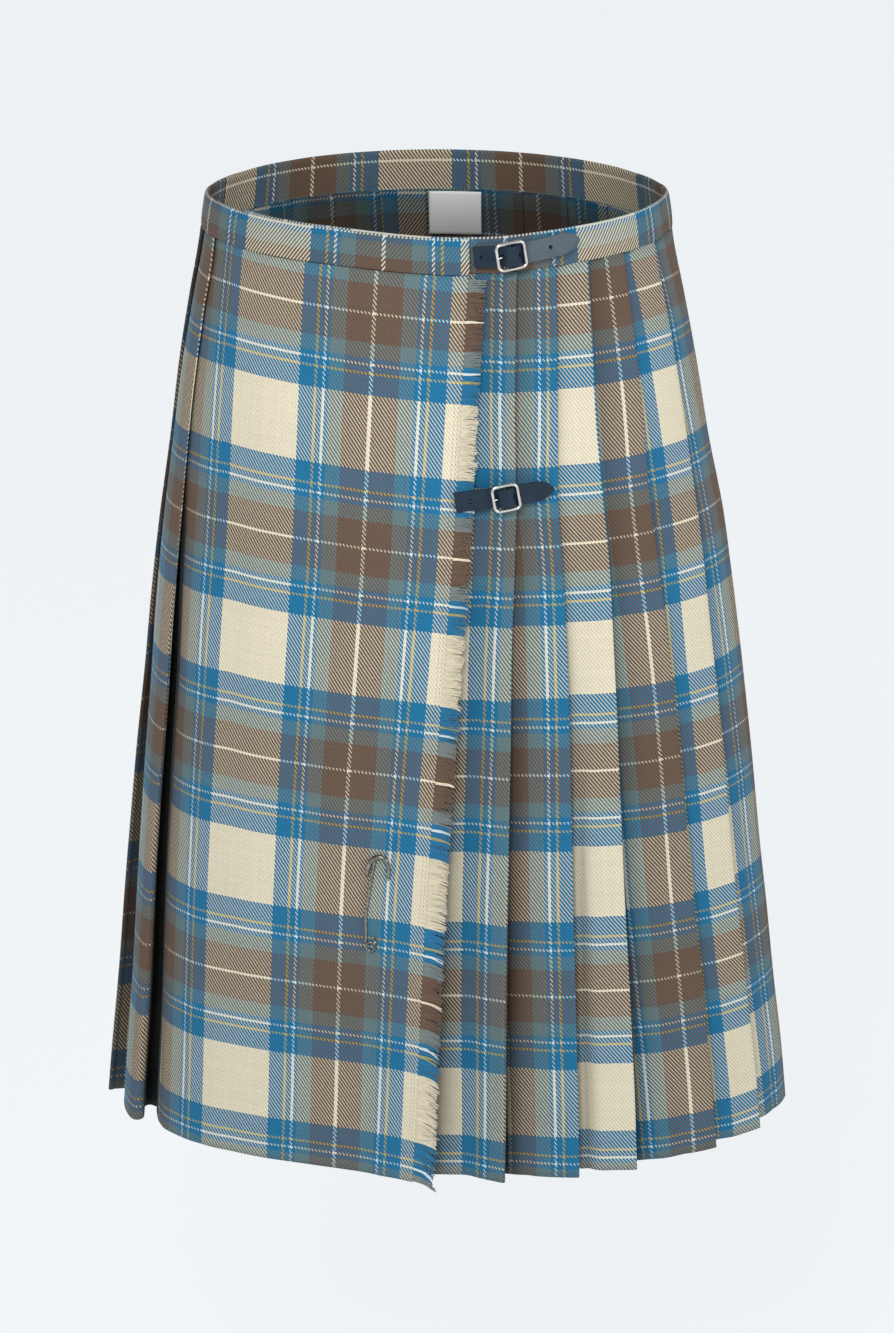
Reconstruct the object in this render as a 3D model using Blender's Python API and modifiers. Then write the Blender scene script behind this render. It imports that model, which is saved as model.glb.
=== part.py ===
"""Pleated tartan kilt skirt in the hollow worn form: aprons, pleats, waistband, fringe, straps and pin."""

import math

import bpy
import numpy as np
from mathutils import Vector

# Driving dimensions in metres. Front is -Y, the viewer's right is +X, the waist's top opening is at height 0.
MM = 0.001
CLOTH_WALL = 1.0 * MM
BAND_WALL = 3.0 * MM
BAND_DEPTH = 25.0 * MM
SEAM_GAP = 0.3 * MM
FOLD_RADIUS_TOP = 0.7 * MM
FOLD_RADIUS_HEM = 1.3 * MM
SPLIT_RADIUS = (CLOTH_WALL + SEAM_GAP) / 2
RING_SAMPLES = 1440

# Rings of the worn form, millimetres: height, half width, depth in front, depth behind, shift to the right.
RINGS = (
    (4.0, 136.0, 105.8, 112.0, 0.0),
    (0.0, 136.5, 106.0, 112.0, 0.0),
    (-25.0, 139.8, 107.0, 112.5, 0.0),
    (-60.0, 146.8, 109.1, 114.6, 0.5),
    (-100.0, 154.3, 111.6, 117.6, 1.0),
    (-150.0, 162.3, 114.1, 120.6, 2.0),
    (-200.0, 171.3, 116.6, 123.6, 3.5),
    (-250.0, 178.3, 118.6, 125.6, 4.0),
    (-300.0, 184.3, 120.1, 127.6, 4.5),
    (-350.0, 190.3, 121.3, 129.1, 4.5),
    (-400.0, 195.5, 122.1, 130.6, 4.5),
    (-450.0, 201.0, 122.9, 132.1, 5.0),
    (-500.0, 206.1, 123.5, 133.6, 5.5),
    (-550.0, 212.0, 123.9, 134.6, 6.0),
    (-600.0, 216.9, 124.4, 135.8, 6.0),
)

# Heights of the cloth's cross sections, from just under the waistband to the hem, millimetres.
SECTION_HEIGHTS = (-25.3, -60.0, -110.0, -150.0, -190.0, -250.0, -320.0, -400.0, -490.0, -586.0)

# Distance along the ring from the front centre, one value a section height, millimetres.
FRINGE_LINE = (28.5, 26.0, 22.5, 19.5, 16.0, 10.8, 5.0, -0.4, -5.7, -10.7)
FIRST_FOLDS = (
    (46.0, 45.0, 44.0, 44.0, 42.0, 39.5, 38.5, 37.5, 36.0, 35.0),
    (70.0, 70.0, 69.5, 69.0, 70.5, 73.0, 75.0, 77.0, 79.0, 81.0),
    (91.0, 92.5, 94.5, 97.5, 100.0, 102.5, 105.5, 109.5, 114.0, 118.0),
    (117.0, 121.5, 127.0, 129.5, 133.0, 141.0, 149.0, 157.0, 165.5, 174.0),
    (146.0, 154.0, 163.0, 168.5, 172.0, 178.0, 186.0, 195.0, 206.0, 216.5),
    (175.0, 186.0, 196.0, 204.0, 210.0, 219.0, 229.0, 240.0, 253.0, 266.0),
)
OUTER_LEFT_FOLD = (-190.0, -204.0, -216.0, -224.0, -231.0, -241.0, -250.5, -257.0, -265.0, -273.0)
ROLLED_FOLD = (-160.0, -167.0, -171.0, -175.0, -179.5, -186.3, -195.0, -204.0, -213.5, -223.0)

# Folds between the last listed one and the outer left one: drift along the hem, and their step there.
BACK_FOLDS = (
    (1.5, 12.0),
    (-2.0, 11.0),
    (2.5, 13.0),
    (-1.0, 12.0),
    (1.5, 10.5),
    (-2.5, 12.5),
    (2.0, 11.5),
    (0.5, 13.0),
    (-2.0, 11.0),
    (1.0, 12.5),
    (-1.5, 11.5),
    (2.5, 12.0),
    (-1.0, 12.5),
)
# The listed folds at the hem: how far the edge lies outside the ring, and its step to the next face.
FRONT_FOLDS = ((2.0, 12.5), (2.4, 12.5), (2.6, 12.0), (-0.6, 10.0), (-0.4, 9.5), (-0.4, 11.5))
OUTER_LEFT_STEP = 12.0

# Underlap of each pleat and the step from one face to the next at the flat stitched part and down the skirt.
PLEAT_UNDERLAP = (16.0, 16.0, 16.0, 16.0, 15.5, 13.5, 11.0, 8.5, 6.0, 4.0)
PLEAT_STEP_SHARE = (0.0, 0.0, 0.0, 0.02, 0.08, 0.25, 0.45, 0.65, 0.84, 1.0)
STITCHED_STEP = 2.8

# Folds after which a panel ends, its seam hidden in the underlap.
PANEL_ENDS = (6, 13)
PANEL_NAMES = ("pleats_right", "pleats_back", "pleats_left")

# Left side where the last fold rolls clear of the apron. Height, then along and out for each named point.
LEFT_POINTS = (
    "apron_flat", "apron_edge", "apron_turn", "apron_end",
    "valley_end", "valley_tip", "valley_top", "return_mid", "roll_under", "roll_tip", "roll_over",
)
LEFT_JOINT = (
    (-25.3, (-132, -0.8), (-159, -2.8), (-168, -3.6), (-174.2, -4.35),
     (-175.0, -4.4), (-176, -3.75), (-175.2, -3.0), (-168, -2.2),
     (-160.7, -1.4), (-160, -0.7), (-160.7, 0.0)),
    (-60.0, (-139, -0.8), (-166, -2.8), (-175, -3.6), (-181.2, -4.35),
     (-182.0, -4.4), (-183, -3.75), (-182.2, -3.0), (-175, -2.2),
     (-167.7, -1.4), (-167, -0.7), (-167.7, 0.0)),
    (-110.0, (-143, -0.9), (-170, -2.8), (-179, -3.6), (-185.2, -4.35),
     (-186.0, -4.4), (-187, -3.75), (-186.2, -3.0), (-179, -2.2),
     (-171.7, -1.4), (-171, -0.7), (-171.7, 0.0)),
    (-150.0, (-149, -1.4), (-173, -3.2), (-183, -4.0), (-189.7, -4.75),
     (-190.5, -4.8), (-191.5, -4.1), (-190.7, -3.3), (-183, -2.4),
     (-175.8, -1.5), (-175, -0.8), (-175.8, 0.0)),
    (-190.0, (-156, -2.3), (-174, -4.1), (-184, -5.6), (-191.2, -7.0),
     (-192.0, -7.0), (-194, -6.0), (-193.5, -4.6), (-187, -3.1),
     (-180.8, -2.1), (-179.5, -1.1), (-180.8, -0.1)),
    (-250.0, (-165, -3.6), (-178.5, -5.5), (-187, -8.5), (-194.2, -10.5),
     (-195.0, -10.5), (-198, -9.0), (-197.5, -7.0), (-193, -4.6),
     (-188.0, -3.2), (-186.3, -1.7), (-188.0, -0.2)),
    (-320.0, (-173, -6.2), (-186.5, -8.4), (-196, -11.8), (-203.7, -14.2),
     (-204.5, -14.2), (-208.5, -12.4), (-208.0, -10.0), (-202, -7.4),
     (-197.2, -5.8), (-195, -3.8), (-197.2, -1.8)),
    (-400.0, (-181, -9.0), (-195.5, -11.5), (-206, -15.0), (-214.2, -18.0),
     (-215.0, -18.0), (-220, -16.5), (-219.5, -13.0), (-213, -10.2),
     (-207.2, -8.2), (-204, -5.6), (-207.2, -3.0)),
    (-490.0, (-189, -11.2), (-203.5, -14.3), (-214, -18.6), (-224.2, -22.0),
     (-225.0, -22.0), (-230.5, -20.3), (-230.2, -17.0), (-223, -13.6),
     (-217.2, -11.4), (-213.5, -8.0), (-217.2, -4.6)),
    (-586.0, (-197, -13.5), (-212.0, -17.5), (-224, -22.5), (-235.2, -26.5),
     (-236.0, -26.5), (-242, -24.0), (-241.5, -20.0), (-234, -16.4),
     (-227.6, -14.2), (-223.5, -10.2), (-227.6, -6.0)),
)

# Front apron at the hem: distance in from the fringe's tips, and how far it lies outside the ring there.
APRON_LIE = (
    (0.0, 1.8), (6.0, 1.4), (15.0, -2.0), (27.0, -6.0), (41.0, -9.7), (67.0, -13.0),
    (95.0, -14.0), (123.0, -14.0), (152.0, -12.4), (173.0, -12.0), (190.0, -13.5),
)
APRON_COLUMNS = (10.3, 16.0, 28.0, 42.0, 60.0, 82.0, 106.0, 130.0, 150.0)
LIE_START = -60.0
LIE_POWER = 1.2

UNDER_APRON_START = 14.0
UNDER_APRON_RISE = 6.0
UNDER_APRON_CLEAR_TOP = 3.4
UNDER_APRON_CLEAR_HEM = 5.5
UNDER_APRON_COLUMNS = (0.0, 14.0, 32.0, 55.0, 80.0, 105.0, 130.0, 150.0)

# Waistband: where the over end stops, where the under end stops and where the two lengths meet.
BAND_OVER_END = 18.5
BAND_UNDER_END = -128.0
BAND_MEET = -232.0
BAND_UNDER_CLEAR = 3.8
BAND_RISE = (22.0, 40.0)
BAND_PITCH = 10.5
BAND_BULGE = 0.4

# Fringe of the front apron's free edge.
FRINGE_BACKING = (10.0, 8.0)
FRINGE_PITCH = 5.0
FRINGE_LOCK_WIDTH = 3.6
FRINGE_LOCKS = 111
FRINGE_TOP = -27.5
FRINGE_THICKNESS = 1.0
FRINGE_REACH = (8.4, 7.2, 8.0, 6.8, 7.8, 8.6, 7.4)
FRINGE_GROWTH = 0.38
FRINGE_DROOP_TOP = 0.4
FRINGE_DROOP_HEM = 5.0

# Straps: frame centre along and up, tilt, left end, tip, width, frame half sizes, level of the cloth below.
STRAP_COLUMNS = (
    "along", "height", "slope", "start", "tip", "width", "frame_half_length", "frame_half_width", "level",
    "start_level",
)
STRAPS = {
    "waist": (42.2, -7.9, 0.104, 20.2, 81.6, 12.4, 8.7, 8.4, 1.7, -2.9),
    "hip": (38.3, -148.6, 0.106, 9.0, 65.4, 11.6, 8.1, 8.2, 0.9, 0.9),
}
STRAP_WALL = 1.8
TAB_WALL = 1.2
TAB_LENGTH = 19.0
TAB_WIDTH = 10.4
FRAME_WIRE = 0.8
FRAME_CORNER = 2.4
FRAME_LEAN = 0.05
FRAME_OUT = 5.0
BAR_OUT = 3.1
HOLE_RADIUS = 1.25
PRONG_HOLE_RADIUS = 1.5
PRONG_RADIUS = 0.55

# Kilt pin: the wire's centre line: along, height, out from the apron's middle surface, wire radius.
PIN_HEAD = (
    (-47.2, -386.7, 1.9, 0.9), (-46.6, -382.7, 2.2, 1.3), (-45.2, -378.2, 2.3, 1.3),
    (-42.6, -374.7, 2.4, 1.35), (-39.4, -373.3, 2.4, 1.35), (-36.2, -374.3, 2.4, 1.35),
    (-34.2, -377.3, 2.3, 1.3), (-33.7, -382.7, 2.2, 1.3), (-33.6, -386.9, 1.9, 0.9),
)
PIN_LEG = (
    (-41.8, -375.1, 2.2, 0.9), (-43.6, -383.7, 1.9, 0.9), (-46.6, -402.7, 1.8, 0.9),
    (-48.0, -413.2, 1.8, 0.9), (-48.2, -428.7, 1.8, 0.85),
)
PIN_COIL_CENTRE = (-45.4, -432.1)
PIN_COIL_RADIUS = 2.7
PIN_COIL_WIRE = 0.62
PIN_COIL_TURNS = 1.5
PIN_COIL_OUT = (1.8, 3.4)
PIN_SHARP = (
    (-42.6, -429.1, 2.4, 0.6), (-42.4, -427.2, 0.2, 0.6), (-42.2, -425.4, -1.7, 0.58),
    (-38.0, -404.7, -2.2, 0.55), (-34.4, -391.3, -1.9, 0.5), (-34.0, -389.3, 0.0, 0.45),
    (-33.8, -387.3, 1.7, 0.4), (-33.7, -384.7, 2.1, 0.4),
)
PIN_HOLES = ((-42.4, -426.9, 1.8), (-34.0, -389.3, 1.6))

# Blank label hanging inside the back of the waistband.
LABEL_LEFT = -5.4
LABEL_RIGHT = 28.0
LABEL_TOP = -25.4
LABEL_BOTTOM = -52.4
LABEL_OUT = (-5.5, -5.9, -6.6)
LABEL_WALL = 0.8

COLOURS = {
    "tartan": (0.12, 0.22, 0.30, 1.0),
    "fringe": (0.34, 0.36, 0.34, 1.0),
    "leather": (0.012, 0.028, 0.055, 1.0),
    "nickel": (0.60, 0.60, 0.57, 1.0),
    "satin": (0.62, 0.62, 0.61, 1.0),
}
METAL = {"nickel": 1.0}


def clear_scene():
    for thing in list(bpy.data.objects):
        bpy.data.objects.remove(thing, do_unlink=True)
    for group in list(bpy.data.collections):
        bpy.data.collections.remove(group)


def new_collection(name, hidden=False):
    group = bpy.data.collections.new(name)
    bpy.context.scene.collection.children.link(group)
    group.hide_render = hidden
    return group


def new_object(name, points, faces, group, look):
    mesh = bpy.data.meshes.new(name)
    mesh.from_pydata([tuple(point) for point in points], [], faces)
    mesh.validate()
    mesh.update()
    thing = bpy.data.objects.new(name, mesh)
    group.objects.link(thing)
    thing.data.materials.append(new_material(name + "_look", look))
    return thing


def new_material(name, look):
    material = bpy.data.materials.new(name)
    material.use_nodes = True
    shader = material.node_tree.nodes["Principled BSDF"]
    shader.inputs["Base Color"].default_value = COLOURS[look]
    shader.inputs["Metallic"].default_value = METAL.get(look, 0.0)
    shader.inputs["Roughness"].default_value = 0.35 if look in METAL else 0.85
    material.diffuse_color = COLOURS[look]
    return material


def ring_sizes(height):
    """Half width, front depth, back depth and shift of the ring at a height in millimetres."""
    table = np.array(RINGS[::-1])
    return [float(np.interp(height, table[:, 0], table[:, column])) for column in range(1, 5)]


def ring_table(height):
    """Angles of one ring over two turns, with the distance along it from the front centre."""
    half_width, front, back, shift = ring_sizes(height)
    angle = np.linspace(-2.5 * math.pi, 1.5 * math.pi, 2 * RING_SAMPLES + 1)
    depth = np.where(np.sin(angle) < 0, front, back)
    x = shift + half_width * np.cos(angle)
    y = depth * np.sin(angle)
    along = np.concatenate([[0.0], np.cumsum(np.hypot(np.diff(x), np.diff(y)))])
    along -= along[RING_SAMPLES]
    return angle, along


RING_CACHE = {}


def on_ring(along, height, out):
    """Point at a distance along the ring from the front centre, moved out; millimetres in, metres out."""
    key = round(height, 4)
    if key not in RING_CACHE:
        RING_CACHE[key] = ring_table(height)
    angles, lengths = RING_CACHE[key]
    half_width, front, back, shift = ring_sizes(height)
    angle = float(np.interp(along, lengths, angles))
    depth = front if math.sin(angle) < 0 else back
    x = shift + half_width * math.cos(angle)
    y = depth * math.sin(angle)
    normal = Vector((math.cos(angle) / half_width, math.sin(angle) / depth, 0.0)).normalized()
    return Vector((x, y, height)) * MM + normal * out * MM


def ring_length(height):
    on_ring(0.0, height, 0.0)
    lengths = RING_CACHE[round(height, 4)][1]
    return float(lengths[2 * RING_SAMPLES] - lengths[RING_SAMPLES])


def by_height(values, height):
    """A value listed by section height, read at any height."""
    return float(np.interp(height, SECTION_HEIGHTS[::-1], values[::-1]))


def left_point(name, height):
    column = LEFT_POINTS.index(name) + 1
    heights = [row[0] for row in LEFT_JOINT][::-1]
    along = float(np.interp(height, heights, [row[column][0] for row in LEFT_JOINT][::-1]))
    out = float(np.interp(height, heights, [row[column][1] for row in LEFT_JOINT][::-1]))
    return along, out


def lie_share(height):
    """How far the skirt has opened towards its hem, 0 near the waist and 1 at the hem."""
    share = (LIE_START - height) / (LIE_START - SECTION_HEIGHTS[-1])
    return max(0.0, share) ** LIE_POWER


def apron_out(inset, height):
    """How far outside the ring the front apron's middle surface lies, by distance in from the tips."""
    hem = float(np.interp(inset, [row[0] for row in APRON_LIE], [row[1] for row in APRON_LIE]))
    along = by_height(FRINGE_LINE, height) - inset
    flat_along, flat_out = left_point("apron_flat", height)
    top = float(np.interp(along, [flat_along, flat_along + 30.0], [flat_out, 0.0]))
    share = lie_share(height)
    return top * (1.0 - share) + hem * share


def pleat_folds(height):
    """The fold edges from the front centre round to the rolled one: along, out, step to the next face."""
    share = by_height(PLEAT_STEP_SHARE, height)
    turn = ring_length(height)
    folds = []
    for line, (hem_out, hem_step) in zip(FIRST_FOLDS, FRONT_FOLDS):
        step = STITCHED_STEP + (hem_step - STITCHED_STEP) * share
        folds.append((by_height(line, height), hem_out * share, step))
    first = folds[-1][0]
    last = by_height(OUTER_LEFT_FOLD, height) + turn
    count = len(BACK_FOLDS)
    for index, (drift, hem_step) in enumerate(BACK_FOLDS, start=1):
        along = first + (last - first) * index / (count + 1) + drift * share
        folds.append((along, 0.0, STITCHED_STEP + (hem_step - STITCHED_STEP) * share))
    folds.append((last, 0.0, STITCHED_STEP + (OUTER_LEFT_STEP - STITCHED_STEP) * share))
    folds.append((by_height(ROLLED_FOLD, height) + turn, 0.0, STITCHED_STEP))
    return folds


def face_out(folds, index, along):
    """The straight line of a pleat's face between the fold before it and its own fold edge."""
    before, before_out, step = folds[index - 1]
    edge, edge_out, _ = folds[index]
    start_out = before_out - step
    return start_out + (edge_out - start_out) * (along - before) / (edge - before)


def under_out(inset, height):
    """Middle surface of the under apron and of the first face where the front apron covers it."""
    share = lie_share(height)
    clear = UNDER_APRON_CLEAR_TOP + (UNDER_APRON_CLEAR_HEM - UNDER_APRON_CLEAR_TOP) * share
    cover = apron_out(inset, height) - clear
    near_edge = -UNDER_APRON_CLEAR_TOP + (-10.8 + UNDER_APRON_CLEAR_TOP) * share
    return min(cover, near_edge)


def first_face(folds, height):
    """Points of the first pleat's face, from its seam with the under apron to its fold edge."""
    tips = by_height(FRINGE_LINE, height)
    share = lie_share(height)
    edge, edge_out, _ = folds[0]
    bend = tips + 4.0 + 16.0 * share
    return [
        (tips - UNDER_APRON_START + SEAM_GAP / MM, under_out(UNDER_APRON_START, height)),
        (tips - 2.0, under_out(2.0, height)),
        (bend, under_out(0.0, height) + 0.1 + 0.4 * share),
        ((bend + edge) / 2, (under_out(0.0, height) + edge_out) / 2 + 0.2),
    ]


def pleat_section(height):
    """One cross section through all the pleats, as lists of along and out, a list a panel."""
    folds = pleat_folds(height)
    share = by_height(PLEAT_STEP_SHARE, height)
    radius = (FOLD_RADIUS_TOP + (FOLD_RADIUS_HEM - FOLD_RADIUS_TOP) * share) / MM
    split = SPLIT_RADIUS / MM
    underlap = by_height(PLEAT_UNDERLAP, height)
    panels = [first_face(folds, height)]
    last = len(folds) - 1
    for index, (edge, edge_out, step) in enumerate(folds[:-1]):
        if index:
            before = folds[index - 1][0]
            panels[-1].append((before, face_out(folds, index, before)))
            middle = edge - max(underlap, (edge - before) / 2)
            panels[-1].append((middle, face_out(folds, index, middle)))
        panels[-1].append((edge - radius, edge_out))
        panels[-1].append((edge, edge_out - radius))
        panels[-1].append((edge - radius, edge_out - 2 * radius))
        inner = edge - underlap
        floor = face_out(folds, index + 1, inner)
        if index in PANEL_ENDS:
            panels[-1].append((inner + radius, floor + 2 * split))
            panels.append([(inner + radius, floor)])
        else:
            panels[-1].append((inner + radius, floor + 2 * radius))
            panels[-1].append((inner, floor + radius))
            panels[-1].append((inner + radius, floor))
    turn = ring_length(height)
    before = folds[last - 1][0]
    panels[-1].append((before, face_out(folds, last, before)))
    over_along, over_out = left_point("roll_over", height)
    middle = (before + over_along + turn) / 2
    start_out = folds[last - 1][1] - folds[last - 1][2]
    panels[-1].append((middle, start_out + (over_out - start_out) * 0.55))
    for name in reversed(LEFT_POINTS[4:]):
        along, out = left_point(name, height)
        panels[-1].append((along + turn, out))
    return panels


def cloth_panel(name, sections, heights, group, look="tartan", wall=CLOTH_WALL):
    """Open surface through cross sections of equal length, given its wall by a Solidify modifier."""
    points = []
    columns = len(sections[0])
    for section, height in zip(sections, heights):
        points.extend(on_ring(along, height, out) for along, out in section)
    faces = []
    for row in range(len(sections) - 1):
        for column in range(columns - 1):
            corner = row * columns + column
            faces.append((corner, corner + columns, corner + columns + 1, corner + 1))
    thing = new_object(name, points, faces, group, look)
    add_wall(thing, wall)
    return thing


def add_wall(thing, wall):
    solid = thing.modifiers.new("wall", "SOLIDIFY")
    solid.thickness = wall
    solid.offset = 0.0
    solid.use_even_offset = True
    solid.use_rim = True


def build_pleats(group):
    sections = [pleat_section(height) for height in SECTION_HEIGHTS]
    for number, name in enumerate(PANEL_NAMES):
        cloth_panel(name, [section[number] for section in sections], SECTION_HEIGHTS, group)


def build_over_apron(group, cutters):
    sections = []
    for height in SECTION_HEIGHTS:
        tips = by_height(FRINGE_LINE, height)
        section = [(tips - inset, apron_out(inset, height)) for inset in APRON_COLUMNS]
        for name in ("apron_flat", "apron_edge", "apron_turn", "apron_end"):
            section.append(left_point(name, height))
        sections.append(section[::-1])
    apron = cloth_panel("over_apron", sections, SECTION_HEIGHTS, group)
    for number, (along, height, radius) in enumerate(PIN_HOLES):
        inset = by_height(FRINGE_LINE, height) - along
        middle = apron_out(inset, height)
        inner = on_ring(along, height, middle - 4.0)
        outer = on_ring(along, height, middle + 4.0)
        cutter = tube("pin_hole_%d" % number, [inner, outer], [radius * MM] * 2, 8, cutters, "nickel")
        cut(apron, cutter)


def build_under_apron(group):
    heights = SECTION_HEIGHTS[:-1] + (SECTION_HEIGHTS[-1] + UNDER_APRON_RISE,)
    sections = []
    for height in heights:
        tips = by_height(FRINGE_LINE, height)
        section = []
        for column in UNDER_APRON_COLUMNS:
            inset = UNDER_APRON_START + column
            section.append((tips - inset, under_out(inset, height)))
        sections.append(section[::-1])
    cloth_panel("under_apron", sections, heights, group)


def band_out(along, under):
    """Outer face of the waistband, pushed in where the over end covers the under end."""
    if not under:
        return 0.0
    return float(np.interp(along, BAND_RISE, (-BAND_UNDER_CLEAR, 0.0)))


def build_band(name, start, end, under, group):
    """Waistband length swept along the ring: a folded strip with a rounded top edge."""
    wall = BAND_WALL / MM
    depth = BAND_DEPTH / MM
    profile = (
        (0.0, -depth), (BAND_BULGE, -depth * 0.55), (0.0, -2.2), (-0.8, -0.5), (-wall / 2, 0.0),
        (-wall + 0.8, -0.5), (-wall, -2.2), (-wall, -depth),
    )
    steps = max(2, round(abs(end - start) / BAND_PITCH))
    points = []
    for step in range(steps + 1):
        along = start + (end - start) * step / steps
        for out, height in profile:
            stretch = ring_length(height) / ring_length(0.0)
            points.append(on_ring(along * stretch, height, out + band_out(along, under)))
    sides = len(profile)
    faces = [tuple(range(sides)), tuple(steps * sides + side for side in range(sides))[::-1]]
    for step in range(steps):
        for side in range(sides):
            corner = step * sides + side
            beside = step * sides + (side + 1) % sides
            faces.append((corner, corner + sides, beside + sides, beside))
    thing = new_object(name, points, faces, group, "tartan")
    face_outwards(thing)


def face_outwards(thing):
    """Turn a closed mesh's faces outwards by its signed volume."""
    mesh = thing.data
    volume = 0.0
    for face in mesh.polygons:
        corners = [mesh.vertices[index].co for index in face.vertices]
        for second, third in zip(corners[1:-1], corners[2:]):
            volume += corners[0].dot(second.cross(third))
    if volume < 0:
        mesh.flip_normals()


def build_fringe(group):
    """One fused body: a narrow backing strip whose free side runs out into tapered locks."""
    half = FRINGE_THICKNESS / 2
    inner, outer = FRINGE_BACKING
    stations = []
    for lock in range(FRINGE_LOCKS):
        top = FRINGE_TOP - lock * FRINGE_PITCH
        stations.extend([top, top - FRINGE_LOCK_WIDTH])
    points = []
    for height in stations:
        for inset, side in ((inner, half), (outer, half), (outer, -half), (inner, -half)):
            points.append(fringe_point(inset, height, side))
    faces = [(0, 1, 2, 3), tuple(4 * (len(stations) - 1) + side for side in (3, 2, 1, 0))]
    for station in range(len(stations) - 1):
        base = 4 * station
        for side in range(4):
            if side == 1 and station % 2 == 0:
                continue
            beside = (side + 1) % 4
            faces.append((base + side, base + 4 + side, base + 4 + beside, base + beside))
    for lock in range(FRINGE_LOCKS):
        add_lock(points, faces, lock, stations[2 * lock], 8 * lock)
    thing = new_object("fringe", points, faces, group, "fringe")
    face_outwards(thing)


def fringe_point(inset, height, side):
    along = by_height(FRINGE_LINE, height) - inset
    return on_ring(along, height, apron_out(inset, height) + side)


def add_lock(points, faces, lock, top, base):
    """A four-sided lock from its root on the backing to a small tip, hanging lower towards the hem."""
    share = lie_share(top)
    reach = FRINGE_REACH[lock % len(FRINGE_REACH)] * (1.0 + FRINGE_GROWTH * share)
    droop = FRINGE_DROOP_TOP + (FRINGE_DROOP_HEM - FRINGE_DROOP_TOP) * share ** 2
    outer = FRINGE_BACKING[1]
    root = (base + 1, base + 5, base + 6, base + 2)
    rings = [root]
    for part, width, thick in ((0.55, 0.78, 0.8), (1.0, 0.34, 0.5)):
        centre = top - FRINGE_LOCK_WIDTH / 2 - droop * part ** 2
        half_width = FRINGE_LOCK_WIDTH * width / 2
        half_thick = FRINGE_THICKNESS * thick / 2
        ring = []
        for up, side in ((1, 1), (-1, 1), (-1, -1), (1, -1)):
            ring.append(len(points))
            points.append(fringe_point(outer - reach * part, centre + up * half_width, side * half_thick))
        rings.append(ring)
    for first, second in zip(rings, rings[1:]):
        for side in range(4):
            beside = (side + 1) % 4
            faces.append((first[side], first[beside], second[beside], second[side]))
    faces.append(tuple(rings[-1]))


def tube(name, path, radii, sides, group, look, closed=False):
    """Round wire along a path, each ring square to the path; capped unless closed on itself."""
    count = len(path)
    points = []
    across = None
    for index, point in enumerate(path):
        ahead = path[(index + 1) % count] if closed else path[min(index + 1, count - 1)]
        behind = path[index - 1] if closed else path[max(index - 1, 0)]
        forward = (ahead - behind).normalized()
        if across is None:
            across = forward.orthogonal().normalized()
        across = (across - forward * across.dot(forward)).normalized()
        other = forward.cross(across)
        for side in range(sides):
            angle = 2 * math.pi * side / sides
            points.append(point + (across * math.cos(angle) + other * math.sin(angle)) * radii[index])
    faces = []
    for index in range(count if closed else count - 1):
        following = (index + 1) % count
        for side in range(sides):
            beside = (side + 1) % sides
            faces.append((index * sides + side, following * sides + side,
                          following * sides + beside, index * sides + beside))
    if not closed:
        faces.append(tuple(range(sides)))
        faces.append(tuple((count - 1) * sides + side for side in range(sides))[::-1])
    thing = new_object(name, points, faces, group, look)
    face_outwards(thing)
    return thing


def cut(thing, cutter, operation="DIFFERENCE"):
    modifier = thing.modifiers.new(cutter.name, "BOOLEAN")
    modifier.operation = operation
    modifier.solver = "EXACT"
    modifier.object = cutter
    cutter.hide_render = True
    cutter.display_type = "WIRE"


def strap_point(strap, along, across, out):
    """Point on a strap's own axes: along it from the frame centre, across it, and out from the ring."""
    height = strap["height"] + strap["slope"] * along + across
    return on_ring(strap["along"] + along - strap["slope"] * across, height, out)


def strap_level(strap, along):
    """The cloth's outer level below the strap."""
    start = strap["start"] - strap["along"]
    return float(np.interp(along, (start, -8.0), (strap["start_level"], strap["level"])))


def flat_strip(name, strap, stations, wall, group):
    """Leather strip from stations of along, out at its middle and half width, with square sides."""
    points = []
    for index, (along, out, half_width) in enumerate(stations):
        before = stations[max(index - 1, 0)]
        after = stations[min(index + 1, len(stations) - 1)]
        run = Vector((after[0] - before[0], after[1] - before[1])).normalized()
        lift = Vector((-run.y, run.x)) * wall / 2
        for across, side in ((half_width, 1), (-half_width, 1), (-half_width, -1), (half_width, -1)):
            points.append(strap_point(strap, along + lift.x * side, across, out + lift.y * side))
    faces = [(0, 1, 2, 3), tuple(4 * (len(stations) - 1) + side for side in (3, 2, 1, 0))]
    for index in range(len(stations) - 1):
        for side in range(4):
            beside = (side + 1) % 4
            base = 4 * index
            faces.append((base + side, base + 4 + side, base + 4 + beside, base + beside))
    thing = new_object(name, points, faces, group, "leather")
    face_outwards(thing)
    return thing


def strap_path(strap):
    """Middle line of the strap: along, out and half width; under the side bars, over the middle one."""
    half = strap["width"] / 2
    low = SEAM_GAP / MM + STRAP_WALL / 2
    start = strap["start"] - strap["along"]
    tip = strap["tip"] - strap["along"]
    level = strap["level"]
    tab = 2 * SEAM_GAP / MM + TAB_WALL + STRAP_WALL / 2
    bar = strap["frame_half_length"] - FRAME_WIRE
    stations = [
        (start, strap_level(strap, start) + low, half),
        ((start - bar) / 2 - 2.0, strap_level(strap, (start - bar) / 2 - 2.0) + low, half),
        (-bar - 1.2, level + low, half),
        (-bar + 0.9, level + low + 0.5, half * 0.97),
        (-4.0, level + 3.9, half * 0.94),
        (-1.8, level + 6.3, half * 0.93),
        (0.4, level + 6.9, half * 0.93),
        (2.6, level + 6.2, half * 0.94),
        (bar - 1.6, level + tab + 0.6, half * 0.97),
        (bar + 0.4, level + tab, half),
        ((bar + tip) / 2, level + tab + 0.1, half),
        (tip - half * 1.05, level + tab + 0.2, half),
        (tip - half * 0.45, level + tab + 0.2, half * 0.78),
        (tip - half * 0.12, level + tab + 0.2, half * 0.42),
        (tip, level + tab + 0.2, half * 0.16),
    ]
    return stations


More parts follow.
